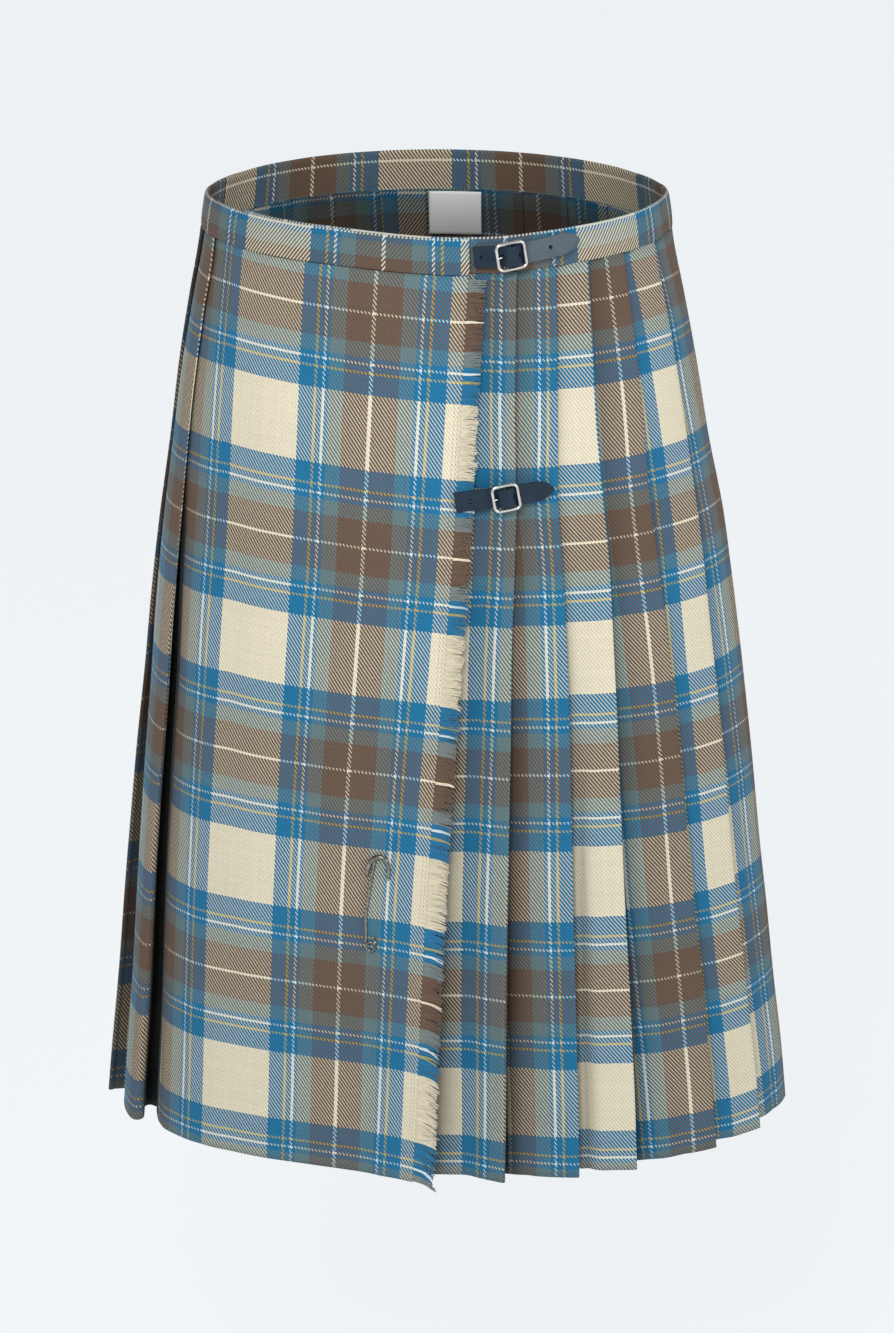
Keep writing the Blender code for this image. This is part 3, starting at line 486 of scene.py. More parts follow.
looks = {
    "body": tartanMaterial("tartanTwill", 1.0),
    # A darker copy of the cloth for the inner side of the shells: painted shade.
    "bodyInsideShaded": tartanMaterial("tartanTwillInsideShaded", 1.0, tartan["insidePaintedShade"], tartan["insideRowShift"]),
    "band": tartanMaterial("tartanTwillBand", -1.0),
    "fringe": fringeMaterial(),
    "leather": leatherMaterial(),
    "buckle": metalMaterial("nickelWire", (0.86, 0.84, 0.80), (0.52, 0.50, 0.47), 0.16),
    "pin": metalMaterial("agedNickel", (0.36, 0.34, 0.29), (0.07, 0.065, 0.05), 0.12),
    "label": satinMaterial(),
    "stitch": stitchMaterial(),
}
print("materials made:", len(looks))


def newPiece(name, points, faces, look, uv=None, fold=None):
    mesh = bpy.data.meshes.new(name)
    mesh.from_pydata(points.tolist(), [], faces)
    if uv is not None:
        layer = mesh.uv_layers.new(name="cloth")
        layer.data.foreach_set("uv", uv.astype(np.float32).ravel())
    if fold is not None:
        values = fold.astype(np.float32).ravel()
        mesh.attributes.new("fold", "FLOAT", "POINT").data.foreach_set("value", values)
    mesh.polygons.foreach_set("use_smooth", np.ones(len(mesh.polygons), bool))
    mesh.materials.append(look)
    mesh.update()
    piece = bpy.data.objects.new(name, mesh)
    bpy.context.scene.collection.objects.link(piece)
    return piece


def gridMesh(name, grids, look, wall=0.0, inside=None):
    # Each grid has points (rows, columns, 3). It may have a uv for each corner, a painted light share for
    # each point (painted shade on cloth, a painted reflection on leather), columns that close on themselves
    # (round), end caps and turned faces (flip).
    points, faces, first = [], [], 0
    for grid in grids:
        place = np.asarray(grid["points"], float)
        rows, columns = place.shape[:2]
        index = first + np.arange(rows * columns).reshape(rows, columns)
        if grid.get("round"):
            index = np.concatenate([index, index[:, :1]], axis=1)
        turn = -1 if grid.get("flip") else 1
        quads = np.stack([index[:-1, :-1], index[1:, :-1], index[1:, 1:], index[:-1, 1:]], axis=-1)
        faces.extend(quads.reshape(-1, 4)[:, ::turn].tolist())
        if grid.get("caps"):
            faces.extend([index[0, :-1][::turn].tolist(), index[-1, :-1][::-turn].tolist()])
        points.append(place.reshape(-1, 3))
        first += rows * columns
    uv, fold = (np.concatenate([grid[key].reshape(-1, size) for grid in grids]) if key in grids[0] else None
                for key, size in (("uv", 2), ("fold", 1)))
    piece = newPiece(name, np.concatenate(points), faces, look, uv, fold)
    if inside:
        piece.data.materials.append(inside)
    if wall:
        solid = piece.modifiers.new("wall", "SOLIDIFY")
        solid.thickness = wall
        solid.offset = 0.0
        solid.use_rim = True
        solid.material_offset = 1 if inside else 0
    return piece


def cornerUv(left, right, down):
    # Corner order of a grid's quads: top left, bottom left, bottom right, top right.
    return np.stack([
        np.stack([left[:-1], down[:-1, :-1]], axis=-1), np.stack([left[1:], down[1:, :-1]], axis=-1),
        np.stack([right[1:], down[1:, 1:]], axis=-1), np.stack([right[:-1], down[:-1, 1:]], axis=-1),
    ], axis=-2)


def acrossLength(points):
    # Cloth length from the first column, along each row.
    steps = np.linalg.norm(np.diff(points, axis=1), axis=-1)
    return np.concatenate([np.zeros((len(points), 1)), np.cumsum(steps, axis=1)], axis=1)


def ordinaryUv(points, start, height, along):
    # Cloth coordinates of a plain panel: length along each row plus a start, and distance down.
    length = acrossLength(points) + start
    return cornerUv(length[:, :-1], length[:, 1:], clothDown(height, along))


def sheetSize(points):
    # Widest row and longest column of a grid, and its own area, in metres.
    across = acrossLength(points)[:, -1].max()
    downwards = acrossLength(np.swapaxes(points, 0, 1))[:, -1].max()
    first, second = points[1:, :-1] - points[:-1, :-1], points[:-1, 1:] - points[:-1, :-1]
    area = float(np.linalg.norm(np.cross(first, second), axis=-1).sum())
    return round(float(across), 3), round(float(downwards), 3), round(area, 4)


def settle(piece, nodes):
    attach(piece, "root")
    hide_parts(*nodes)


halfAcross = tartan["acrossRepeat"] / 2 * mm

# Left side of the aprons, where the last pleat rolls clear: height, then along and out for each named point.
leftSide = {
    "names": ("apronFlat", "apronEdge", "apronTurn", "apronEnd", "valleyEnd", "valleyTip", "valleyTop",
              "returnMid", "rollUnder", "rollTip", "rollOver"),
    "rows": (
        (-25.3, (-132, -0.8), (-159, -2.8), (-168, -3.6), (-174.2, -4.35), (-175.0, -4.4), (-176, -3.75),
         (-175.2, -3.0), (-168, -2.2), (-160.7, -1.4), (-160, -0.7), (-160.7, 0.0)),
        (-60.0, (-139, -0.8), (-166, -2.8), (-175, -3.6), (-181.2, -4.35), (-182.0, -4.4), (-183, -3.75),
         (-182.2, -3.0), (-175, -2.2), (-167.7, -1.4), (-167, -0.7), (-167.7, 0.0)),
        (-110.0, (-143, -0.9), (-170, -2.8), (-179, -3.6), (-185.2, -4.35), (-186.0, -4.4), (-187, -3.75),
         (-186.2, -3.0), (-179, -2.2), (-171.7, -1.4), (-171, -0.7), (-171.7, 0.0)),
        (-150.0, (-149, -1.4), (-173, -3.2), (-183, -4.0), (-189.7, -4.75), (-190.5, -4.8), (-191.5, -4.1),
         (-190.7, -3.3), (-183, -2.4), (-175.8, -1.5), (-175, -0.8), (-175.8, 0.0)),
        (-190.0, (-156, -2.3), (-174, -4.1), (-184, -5.6), (-191.2, -7.0), (-192.0, -7.0), (-194, -6.0),
         (-193.5, -4.6), (-187, -3.1), (-180.8, -2.1), (-179.5, -1.1), (-180.8, -0.1)),
        (-250.0, (-165, -3.6), (-178.5, -5.5), (-187, -8.5), (-194.2, -10.5), (-195.0, -10.5),
         (-198, -9.0), (-197.5, -7.0), (-193, -4.6), (-188.0, -3.2), (-186.3, -1.7), (-188.0, -0.2)),
        (-320.0, (-173, -6.2), (-186.5, -8.4), (-196, -11.8), (-203.7, -14.2), (-204.5, -14.2),
         (-208.5, -12.4), (-208.0, -10.0), (-202, -7.4), (-197.2, -5.8), (-195, -3.8), (-197.2, -1.8)),
        (-400.0, (-181, -9.0), (-195.5, -11.5), (-206, -15.0), (-214.2, -18.0), (-215.0, -18.0),
         (-220, -16.5), (-219.5, -13.0), (-213, -10.2), (-207.2, -8.2), (-204, -5.6), (-207.2, -3.0)),
        (-490.0, (-189, -11.2), (-203.5, -14.3), (-214, -18.6), (-224.2, -22.0), (-225.0, -22.0),
         (-230.5, -20.3), (-230.2, -17.0), (-223, -13.6), (-217.2, -11.4), (-213.5, -8.0), (-217.2, -4.6)),
        (-586.0, (-197, -13.5), (-212.0, -17.5), (-224, -22.5), (-235.2, -26.5), (-236.0, -26.5),
         (-242, -24.0), (-241.5, -20.0), (-234, -16.4), (-227.6, -14.2), (-223.5, -10.2), (-227.6, -6.0)),
    ),
}
leftHeights = [row[0] for row in leftSide["rows"]]
leftTable = np.array([row[1:] for row in leftSide["rows"]], float)


def leftPoint(name, height):
    values = smoothly(height, leftHeights, leftTable[:, leftSide["names"].index(name)])
    return values[..., 0], values[..., 1]


# Front apron: how far it lies outside the ring at the hem, by distance in from the fringe's tips.
overApron = {
    "lie": ((0.0, 1.8), (6.0, 1.4), (15.0, -2.0), (27.0, -6.0), (41.0, -9.7), (67.0, -13.0),
            (95.0, -14.0), (123.0, -14.0), (152.0, -12.4), (173.0, -12.0), (190.0, -13.5)),
    "insets": (10.3, 16.0, 28.0, 42.0, 60.0, 82.0, 106.0, 130.0, 150.0),
    "columnStep": 2.2,
    "rowStep": 4.0,
    "wall": 0.8,
    "seamPlace": 52.2,  # distance of the seam line right of the pivot line, on the cloth
    # shade beside the folded edge: share, how far in it starts, how fast it fades; and past the turn
    "edgeShade": (0.50, 4.0, 6.0),
    "turnShade": (0.975, 3.0, 2.5),
    # soft creases: inset at the waist, inset at the hem, width, rise, where it is strongest, its reach
    "creases": (
        (62.0, 70.0, 11.0, 0.55, -250.0, 150.0), (96.0, 88.0, 9.0, -0.50, -330.0, 170.0),
        (120.0, 128.0, 10.0, 0.60, -430.0, 150.0), (36.0, 44.0, 8.0, -0.45, -470.0, 130.0),
        (78.0, 110.0, 12.0, 0.60, -560.0, 90.0), (140.0, 150.0, 8.0, -0.55, -300.0, 190.0),
        (24.0, 30.0, 6.0, 0.40, -580.0, 90.0), (156.0, 168.0, 7.0, 0.55, -520.0, 120.0),
    ),
}


def apronOut(inset, height):
    # The front apron's middle surface, out from the ring: flat at the waist, laid in at the hem.
    inset, height = np.asarray(inset, float), np.asarray(height, float)
    hem = smoothly(inset, [row[0] for row in overApron["lie"]], [row[1] for row in overApron["lie"]])
    along = byHeight(form["fringeLine"], height) - inset
    flatAlong, flatOut = leftPoint("apronFlat", height)
    top = flatOut * np.clip(1.0 - (along - flatAlong) / 30.0, 0.0, 1.0)
    share = lieShare(height)
    return top * (1.0 - share) + hem * share


def creaseOut(creases, inset, height):
    total = 0.0
    for top, hem, width, rise, middle, reach in creases:
        line = top + (hem - top) * (form["top"] - height) / (form["top"] - form["hem"])
        total = total + rise * ridge(inset - line, width) * ridge(height - middle, reach)
    return total


def rowHeights(low, step):
    return np.linspace(form["top"], low, max(2, round((form["top"] - low) / step)) + 1)


def apronGrid():
    # Columns from the fringe seam to the folded-in left edge, each a smooth line through the named points.
    height = rowHeights(form["hem"], overApron["rowStep"])
    tips = byHeight(form["fringeLine"], height)
    points = [(tips - inset, apronOut(inset, height)) for inset in overApron["insets"]]
    points += [leftPoint(name, height) for name in ("apronFlat", "apronEdge", "apronTurn", "apronEnd")]
    along, out = np.swapaxes(points, 0, 1)
    knots = (tips - along).mean(axis=1)
    columns = np.linspace(knots[0], knots[-1], round((knots[-1] - knots[0]) / overApron["columnStep"]) + 1)
    along = smoothly(columns, knots, along).T[:, ::-1]
    out = smoothly(columns, knots, out).T[:, ::-1]
    inset = tips[:, None] - along
    out = out + creaseOut(overApron["creases"], inset, height[:, None])
    return along, height, out


def makeOverApron():
    along, height, out = apronGrid()
    level = worn(height[:, None], along)
    points = onRing(along, level, out)
    length = acrossLength(points)
    start = overApron["seamPlace"] * mm - length[:, -1:]
    uv = ordinaryUv(points, start, level, along)
    # Painted shade beside the folded left edge, and near-black painted shade past its turn.
    fromEdge = along - leftPoint("apronEdge", height)[0][:, None]
    most, inward, fade = overApron["edgeShade"]
    near = most * lieShare(height)[:, None] ** 0.5 * np.exp(-np.clip(fromEdge + inward, 0.0, None) / fade)
    most, inward, fade = overApron["turnShade"]
    paintedShade = np.maximum(near, most * np.clip((-inward - fromEdge) / fade, 0.0, 1.0))
    piece = gridMesh("overApron", [{"points": points, "uv": uv, "fold": paintedShade}], looks["body"],
                     overApron["wall"] * mm)
    settle(piece, ["over_apron"])
    width, drop, area = sheetSize(points)
    print("over apron:", width, "by", drop, "m")
    return piece, width, drop, area


underApron = {
    "seamPlace": 0.026,
    "start": 14.0,
    "rise": 6.0,
    "clearTop": 3.4,
    "clearHem": 5.5,
    "nearHem": -10.8,
    "depth": 136.0,
    "columnStep": 4.0,
    "rowStep": 6.0,
    "wall": 0.8,
}


def underOut(inset, height):
    share = lieShare(height)
    clear = underApron["clearTop"] + (underApron["clearHem"] - underApron["clearTop"]) * share
    nearEdge = -underApron["clearTop"] + (underApron["nearHem"] + underApron["clearTop"]) * share
    return np.minimum(apronOut(inset, height) - clear, nearEdge)


def makeUnderApron():
    height = rowHeights(form["hem"] + underApron["rise"], underApron["rowStep"])
    inset = np.linspace(underApron["start"] + underApron["depth"], underApron["start"],
                        round(underApron["depth"] / underApron["columnStep"]) + 1)
    along = byHeight(form["fringeLine"], height)[:, None] - inset
    level = worn(height[:, None], along)
    points = onRing(along, level, underOut(inset, height[:, None]))
    length = acrossLength(points)
    uv = ordinaryUv(points, underApron["seamPlace"] - length[:, -1:], level, along)
    piece = gridMesh("underApron", [{"points": points, "uv": uv}], looks["body"], underApron["wall"] * mm)
    settle(piece, ["under_apron"])
    width, drop, area = sheetSize(points)
    print("under apron:", width, "by", drop, "m")


# Pleats: fold edges by section height, how far each lies out at the hem and stands off the next face there,
# and the place on the cloth's repeat at each edge, in half repeats from a pivot line.
pleats = {
    "firstFolds": (
        (46.0, 45.0, 44.0, 44.0, 42.0, 39.5, 38.5, 37.5, 36.0, 35.0),
        (70.0, 70.0, 69.5, 69.0, 70.5, 73.0, 75.0, 77.0, 79.0, 81.0),
        (91.0, 92.5, 94.5, 97.5, 100.0, 102.5, 105.5, 109.5, 114.0, 118.0),
        (117.0, 121.5, 127.0, 129.5, 133.0, 141.0, 149.0, 157.5, 167.5, 176.5),
        (146.0, 154.0, 163.0, 168.5, 172.0, 178.0, 186.0, 195.0, 206.0, 216.5),
        (175.0, 186.0, 196.0, 204.0, 210.0, 219.0, 229.0, 240.0, 253.0, 266.0),
    ),
    "outerLeft": (-190.0, -204.0, -216.0, -224.0, -231.0, -241.0, -250.5, -257.0, -265.0, -273.0),
    "rolled": (-160.0, -167.0, -171.0, -175.0, -179.5, -186.3, -195.0, -204.0, -213.5, -223.0),
    "frontHem": ((2.0, 12.5), (2.4, 12.5), (2.6, 12.0), (-0.6, 10.0), (-0.4, 9.5), (-0.4, 11.5)),
    "backHem": ((1.5, 12.0), (-2.0, 11.0), (2.5, 13.0), (-1.0, 12.0), (1.5, 10.5), (-2.5, 12.5), (2.0, 11.5),
                (0.5, 13.0), (-2.0, 11.0), (1.0, 12.5), (-1.5, 11.5), (2.5, 12.0), (-1.0, 12.5)),
    "outerLeftStep": 12.0,
    "stitchedStep": 2.8,
    "underlap": (16.0, 16.0, 16.0, 16.0, 15.5, 13.5, 11.0, 8.5, 6.0, 4.0),
    "firstUnderlap": (7.0, 8.0, 10.0, 12.0, 14.0, 13.5, 11.0, 8.5, 6.0, 4.0),
    "stepShare": (0.0, 0.0, 0.0, 0.02, 0.08, 0.25, 0.45, 0.65, 0.84, 1.0),
    "foldRadius": (0.7, 1.3),
    "splitRadius": 0.65,
    "frontPlaces": (
        (-0.29, -0.29, -0.29, -0.285, -0.28, -0.265, -0.245, -0.225, -0.215, -0.215),
        (0.59, 0.59, 0.59, 0.60, 0.60, 0.615, 0.63, 0.645, 0.65, 0.65),
        (-0.635, -0.635, -0.635, -0.635, -0.64, -0.645, -0.65, -0.66, -0.665, -0.665),
        (0.20, 0.20, 0.20, 0.20, 0.205, 0.21, 0.22, 0.235, 0.25, 0.255),
        (-1.0,) * 10,
        (-0.04, -0.05, -0.06, -0.07, -0.08, -0.10, -0.12, -0.14, -0.15, -0.15),
    ),
    "outerLeftPlace": -0.235,
    "rolledPlace": (0.006, 0.006, 0.006, 0.006, 0.004, 0.0, -0.02, -0.04, -0.06, -0.06),
    "backCentrePlace": 1.0,
    "backCentreShift": 2.0,
    "panelEnds": (6, 13),
    "nodes": ("pleats_right", "pleats_back", "pleats_left"),
    "rowStep": 6.2,
    "wall": 0.8,
    "bow": 0.7,
    # how dark each front face's painted shade starts at its fold's foot at the hem, and over how many
    # millimetres that fades
    "frontPaintedShade": ((0.80, 17.0), (0.94, 10.0), (0.80, 4.5), (0.85, 11.0), (0.45, 7.0), (0.55, 8.0)),
    "backPaintedShade": (0.60, 8.0),
    "rollEdge": 18,  # columns of the last face up to its fold edge, and up to where it is hidden
    "rollHidden": 21,
    "rollPoints": ("rollOver", "rollTip", "rollUnder", "returnMid", "valleyTop", "valleyTip", "valleyEnd"),
    # share of the painted shade kept at the waist, and the even painted shade of the outer left strip
    "topPaintedShadeShare": 0.35,
    "stripPaintedShade": 0.58,
    "nearFar": (0.78, 0.22, 3.0),  # shares of the near and the far shade, and how much wider the far one is
    "hiddenShade": (0.975, 3.0),
    "softFade": 90.0,
    # soft shades of the first panel's creases: face, distance in, width, depth, and where they begin
    "softShades": ((2, 8.4, 2.7, 0.36, -290.0),),
    # soft troughs and ridges down the faces: face, distance in from the fold before it, width, hem rise
    "creases": ((0, 26.0, 5.0, 0.9), (1, 15.0, 4.0, -0.8), (2, 9.0, 2.6, -1.5), (2, 16.0, 5.0, 0.9),
                (3, 22.0, 6.0, 0.9), (3, 36.0, 4.0, -0.7), (4, 18.0, 5.0, 0.7), (5, 26.0, 6.0, -0.8),
                (7, 14.0, 5.0, 0.9), (8, 20.0, 4.0, -0.9), (10, 12.0, 4.0, 0.8), (11, 18.0, 5.0, -0.9),
                (12, 22.0, 4.0, 0.8), (14, 12.0, 5.0, -0.8), (15, 20.0, 5.0, 0.9), (17, 15.0, 4.0, -0.8),
                (18, 22.0, 5.0, 0.8), (19, 12.0, 4.0, -0.7)),
}


def pleatFolds(height):
    # Every fold edge round the skirt: along, out at the edge, step down to the next face, repeat place.
    share = byHeight(pleats["stepShare"], height)
    turn = ringLength(height)
    stitched = pleats["stitchedStep"]
    folds = []
    front = zip(pleats["firstFolds"], pleats["frontHem"], pleats["frontPlaces"])
    for line, (hemOut, hemStep), places in front:
        step = stitched + (hemStep - stitched) * share
        folds.append((byHeight(line, height), hemOut * share, step, byHeight(places, height)))
    first = folds[-1][0]
    last = byHeight(pleats["outerLeft"], height) + turn
    count = len(pleats["backHem"])
    centre = turn[0] / 2 + pleats["backCentreShift"]
    none = 0.0 * share
    for number, (drift, hemStep) in enumerate(pleats["backHem"], start=1):
        along = first + (last - first) * number / (count + 1) + drift * share
        place = (along[0] - centre) / (tartan["acrossRepeat"] / 2) + pleats["backCentrePlace"] + none
        folds.append((along, none, stitched + (hemStep - stitched) * share, place))
    step = stitched + (pleats["outerLeftStep"] - stitched) * share
    folds.append((last, none, step, pleats["outerLeftPlace"] + none))
    rolled = byHeight(pleats["rolled"], height) + turn
    folds.append((rolled, none, stitched + none, byHeight(pleats["rolledPlace"], height)))
    return folds


def faceOut(folds, number, along):
    # The straight fall of a face, from below the fold before it up to its own edge.
    before, beforeOut, step, _ = folds[number - 1]
    edge, edgeOut = folds[number][:2]
    start = beforeOut - step
    return start + (edgeOut - start) * (along - before) / (edge - before)


def arcColumns(centreAlong, centreOut, radius, fromDegrees, toDegrees, count):
    # Columns round an arc, without the last one.
    turns = np.radians(np.linspace(fromDegrees, toDegrees, count))[:-1]
    return [(centreAlong + radius * math.cos(turn), centreOut + radius * math.sin(turn)) for turn in turns]


def lineColumns(start, end, count, bow=0.0):
    # Straight columns between two points, without the last one, bowed out between them.
    shares = np.linspace(0.0, 1.0, count, endpoint=False)
    return [(start[0] + (end[0] - start[0]) * share, start[1] + (end[1] - start[1]) * share
             + bow * math.sin(math.pi * share)) for share in shares]


def pleatPanels(height):
    # Cross sections of the three joined panels. For each: its columns of along and out, its fold edges, the
    # columns after which the next pleat's cloth place holds, those places, and the shade of each face.
    folds = pleatFolds(height)
    share = byHeight(pleats["stepShare"], height)
    small, large = pleats["foldRadius"]
    radius = small + (large - small) * share
    split = pleats["splitRadius"]
    underlap = byHeight(pleats["underlap"], height)
    bow = pleats["bow"] * share
    tips = byHeight(form["fringeLine"], height)
    lie = lieShare(height)
    edge, edgeOut = folds[0][:2]
    bend = tips + 4.0 + 16.0 * lie
    knots = [
        (tips - underApron["start"] + 0.3, underOut(underApron["start"], height)),
        (tips - 2.0, underOut(2.0, height)),
        (bend, underOut(0.0, height) + 0.1 + 0.4 * lie),
        ((bend + edge) / 2, (underOut(0.0, height) + edgeOut) / 2 + 0.2),
        (edge - radius, edgeOut),
    ]
    places = np.linspace(0.0, len(knots) - 1.0, 21)
    columns = list(smoothly(places, np.arange(len(knots)), np.array(knots)))
    # Painted shade of each face after its fold, weaker towards the waist.
    paintedShades = pleats["frontPaintedShade"] + (pleats["backPaintedShade"],) * 20
    weight = pleats["topPaintedShadeShare"] + (1.0 - pleats["topPaintedShadeShare"]) * share
    first = {"start": tips - 4.0, "amount": paintedShades[0][0] * weight, "reach": paintedShades[0][1], "base": 0.0}
    panel = {"columns": columns[:-1], "edges": [], "breaks": [], "places": [], "shades": [first]}
    panels = [panel]
    last = len(folds) - 1
    for number, (edge, edgeOut, step, place) in enumerate(folds[:-1]):
        panel["columns"] += arcColumns(edge - radius, edgeOut - radius, radius, 90.0, -90.0, 9)
        panel["edges"].append(len(panel["columns"]) - 4)
        panel["places"].append(place)
        inner = edge - (byHeight(pleats["firstUnderlap"], height) if number == 0 else underlap)
        floor = faceOut(folds, number + 1, inner)
        ends = number in pleats["panelEnds"]
        gap = split if ends else radius
        start = (inner + radius, floor)
        deep = (inner + radius, floor + 2 * gap)
        panel["columns"] += lineColumns((edge - radius, edgeOut - 2 * radius), deep, 5)
        if ends:
            panel["columns"].append(deep)
            panel = {"columns": [], "edges": [], "breaks": [], "places": [], "shades": []}
            panels.append(panel)
        else:
            panel["breaks"].append(len(panel["columns"]) - 2)
            panel["columns"] += arcColumns(inner + radius, floor + radius, radius, 90.0, 270.0, 7)
        amount, reach = paintedShades[number + 1]
        # The outer left strip gets an even painted shade.
        base = pleats["stripPaintedShade"] if number + 1 == last - 1 else 0.0
        panel["shades"].append({"start": edge, "amount": amount * weight, "reach": reach, "base": base})
        if number + 1 < last:
            nextEdge, nextOut = folds[number + 1][:2]
            end = (nextEdge - radius, nextOut)
            face = lineColumns(start, end, 16, bow)
            for creaseFace, inward, width, rise in pleats["creases"]:
                if creaseFace == number + 1:
                    face = [(place, level + rise * share * ridge(place - edge - inward, width)
                             * np.clip((nextEdge - place) / 6.0, 0.0, 1.0)) for place, level in face]
            panel["columns"] += face
        else:
            # The last face, its roll and its return into the valley are one curve.
            overAlong, overOut = leftPoint("rollOver", height)
            turn = ringLength(height)
            startOut = edgeOut - step
            middle = (edge + overAlong + turn) / 2
            knots = [start, (middle, startOut + (overOut - startOut) * 0.55)]
            for name in pleats["rollPoints"]:
                pointAlong, pointOut = leftPoint(name, height)
                knots.append((pointAlong + turn, pointOut))
            placesThere = np.concatenate([np.linspace(0, 4, 25)[:-1], np.linspace(4, 8, 21)])
            along, out = (curveThrough(placesThere, np.stack(line)) for line in zip(*knots))
            panel["edges"].append(len(panel["columns"]) + pleats["rollEdge"])
            panel["hidden"] = len(panel["columns"]) + pleats["rollHidden"]
            panel["places"].append(folds[last][3])
            panel["columns"] += list(zip(along, out))
    return panels


def curveThrough(places, knots):
    # Catmull-Rom curve through evenly counted knots, for a line that turns back on itself.
    low = np.clip(places.astype(int), 0, len(knots) - 2)
    part = (places - low)[:, None]
    padded = np.concatenate([2 * knots[:1] - knots[1:2], knots, 2 * knots[-1:] - knots[-2:-1]])
    first, second, third, fourth = (padded[low + shift] for shift in range(4))
    return 0.5 * (2 * second + (third - first) * part
                  + (2 * first - 5 * second + 4 * third - fourth) * part ** 2
                  + (3 * second - first - 3 * third + fourth) * part ** 3)


def pleatShade(panel, along, height, panels):
    # Painted shade of a place in a fold's shelter: strongest at the foot of the step, fading along the face.
    columns = np.arange(along.shape[1])
    breaks = np.array(panel["breaks"], int) + 2
    segment = np.searchsorted(breaks, columns, side="right")
    total = 0.0 * along
    whole = len(panel["shades"]) - len(breaks)
    nearShare, farShare, wider = pleats["nearFar"]
    for number, shade in enumerate(panel["shades"]):
        inside = segment == number + 1 - whole if whole < 1 else segment == number
        distance = np.clip(along - shade["start"][:, None], 0.0, None)
        near = nearShare * ridge(distance, shade["reach"])
        near = near + farShare * np.exp(-distance / (wider * shade["reach"]))
        near = shade["amount"][:, None] * near
        for face, inward, width, depth, top in pleats["softShades"] if panel is panels[0] else ():
            if number == face:
                low = np.clip((top - height[:, None]) / pleats["softFade"], 0.0, 1.0)
                near = near + depth * low * ridge(distance - inward, width)
        total = total + inside * np.maximum(near, shade["base"])
    # Columns hidden in the valley get a near-black painted shade.
    hidden = panel.get("hidden", along.shape[1] + 9)
    most, fade = pleats["hiddenShade"]
    return np.maximum(total, most * np.clip((columns - hidden + fade) / fade, 0.0, 1.0))


def makePleats():
    height = rowHeights(form["hem"], pleats["rowStep"])
    panels = pleatPanels(height)
    for name, node, panel in zip(("pleatsRight", "pleatsBack", "pleatsLeft"), pleats["nodes"], panels):
        along, out = (
            np.stack([line + 0.0 * height for line in lines], axis=1) for lines in zip(*panel["columns"])
        )
        level = worn(height[:, None], along)
        points = onRing(along, level, out)
        length = acrossLength(points)
        strips = np.arange(points.shape[1] - 1)
        segment = np.searchsorted(np.array(panel["breaks"], int), strips, side="left")
        segment = np.minimum(segment, len(panel["edges"]) - 1)
        edges = np.array(panel["edges"])[segment]
        places = np.stack(panel["places"], axis=1)[:, segment] * halfAcross
        shift = places - length[:, edges]
        isLeft = node == "pleats_left"
        down = clothDown(level, along - ringLength(height)[:, None] * isLeft, "apron" if isLeft else "pleats")
        uv = cornerUv(length[:, :-1] + shift, length[:, 1:] + shift, down)
        # Painted shade of the folds, kept as a point attribute.
        fold = pleatShade(panel, along, height, panels)
        grid = {"points": points, "uv": uv, "fold": fold}
        piece = gridMesh(name, [grid], looks["body"], pleats["wall"] * mm, looks["bodyInsideShaded"])
        settle(piece, [node])
        width, drop, area = sheetSize(points)
        print(name + ":", width, "by", drop, "m, columns", points.shape[1])


# Waistband: a folded strip in two lengths. Its section runs from inside the back layer, over the top, to the
# front.
band = {
    "overEnd": 18.5,
    "underEnd": -128.0,
    "meet": -232.0,
    "underClear": 3.8,
    "rise": (22.0, 40.0),
    "step": 3.5,
    "wall": 0.8,
    "section": (
        (-1.9, -23.9), (-2.45, -24.5), (-2.6, -23.6), (-2.6, -18.0), (-2.6, -12.0), (-2.6, -6.5),
        (-2.6, -3.2),
        (-2.45, -1.7), (-2.1, -0.8), (-1.55, -0.42), (-1.0, -0.65), (-0.6, -1.5), (-0.42, -3.0), (-0.2, -7.0),
        (0.0, -12.0), (0.02, -16.5), (-0.1, -20.5), (-0.3, -23.4), (-0.6, -24.4), (-1.2, -24.3),
    ),
    "sectionTop": 9,
    "outerTopPlace": -30.2,  # place on the weft repeat at the outer top edge, and the inner one's pivot depth
    "innerPivotDepth": 6.3,
    "overPivot": -29.7,
    "underPale": 105.5,
    "innerPaleX": -13.7,
    "ripple": 0.12,
    "innerShade": 0.15,
}


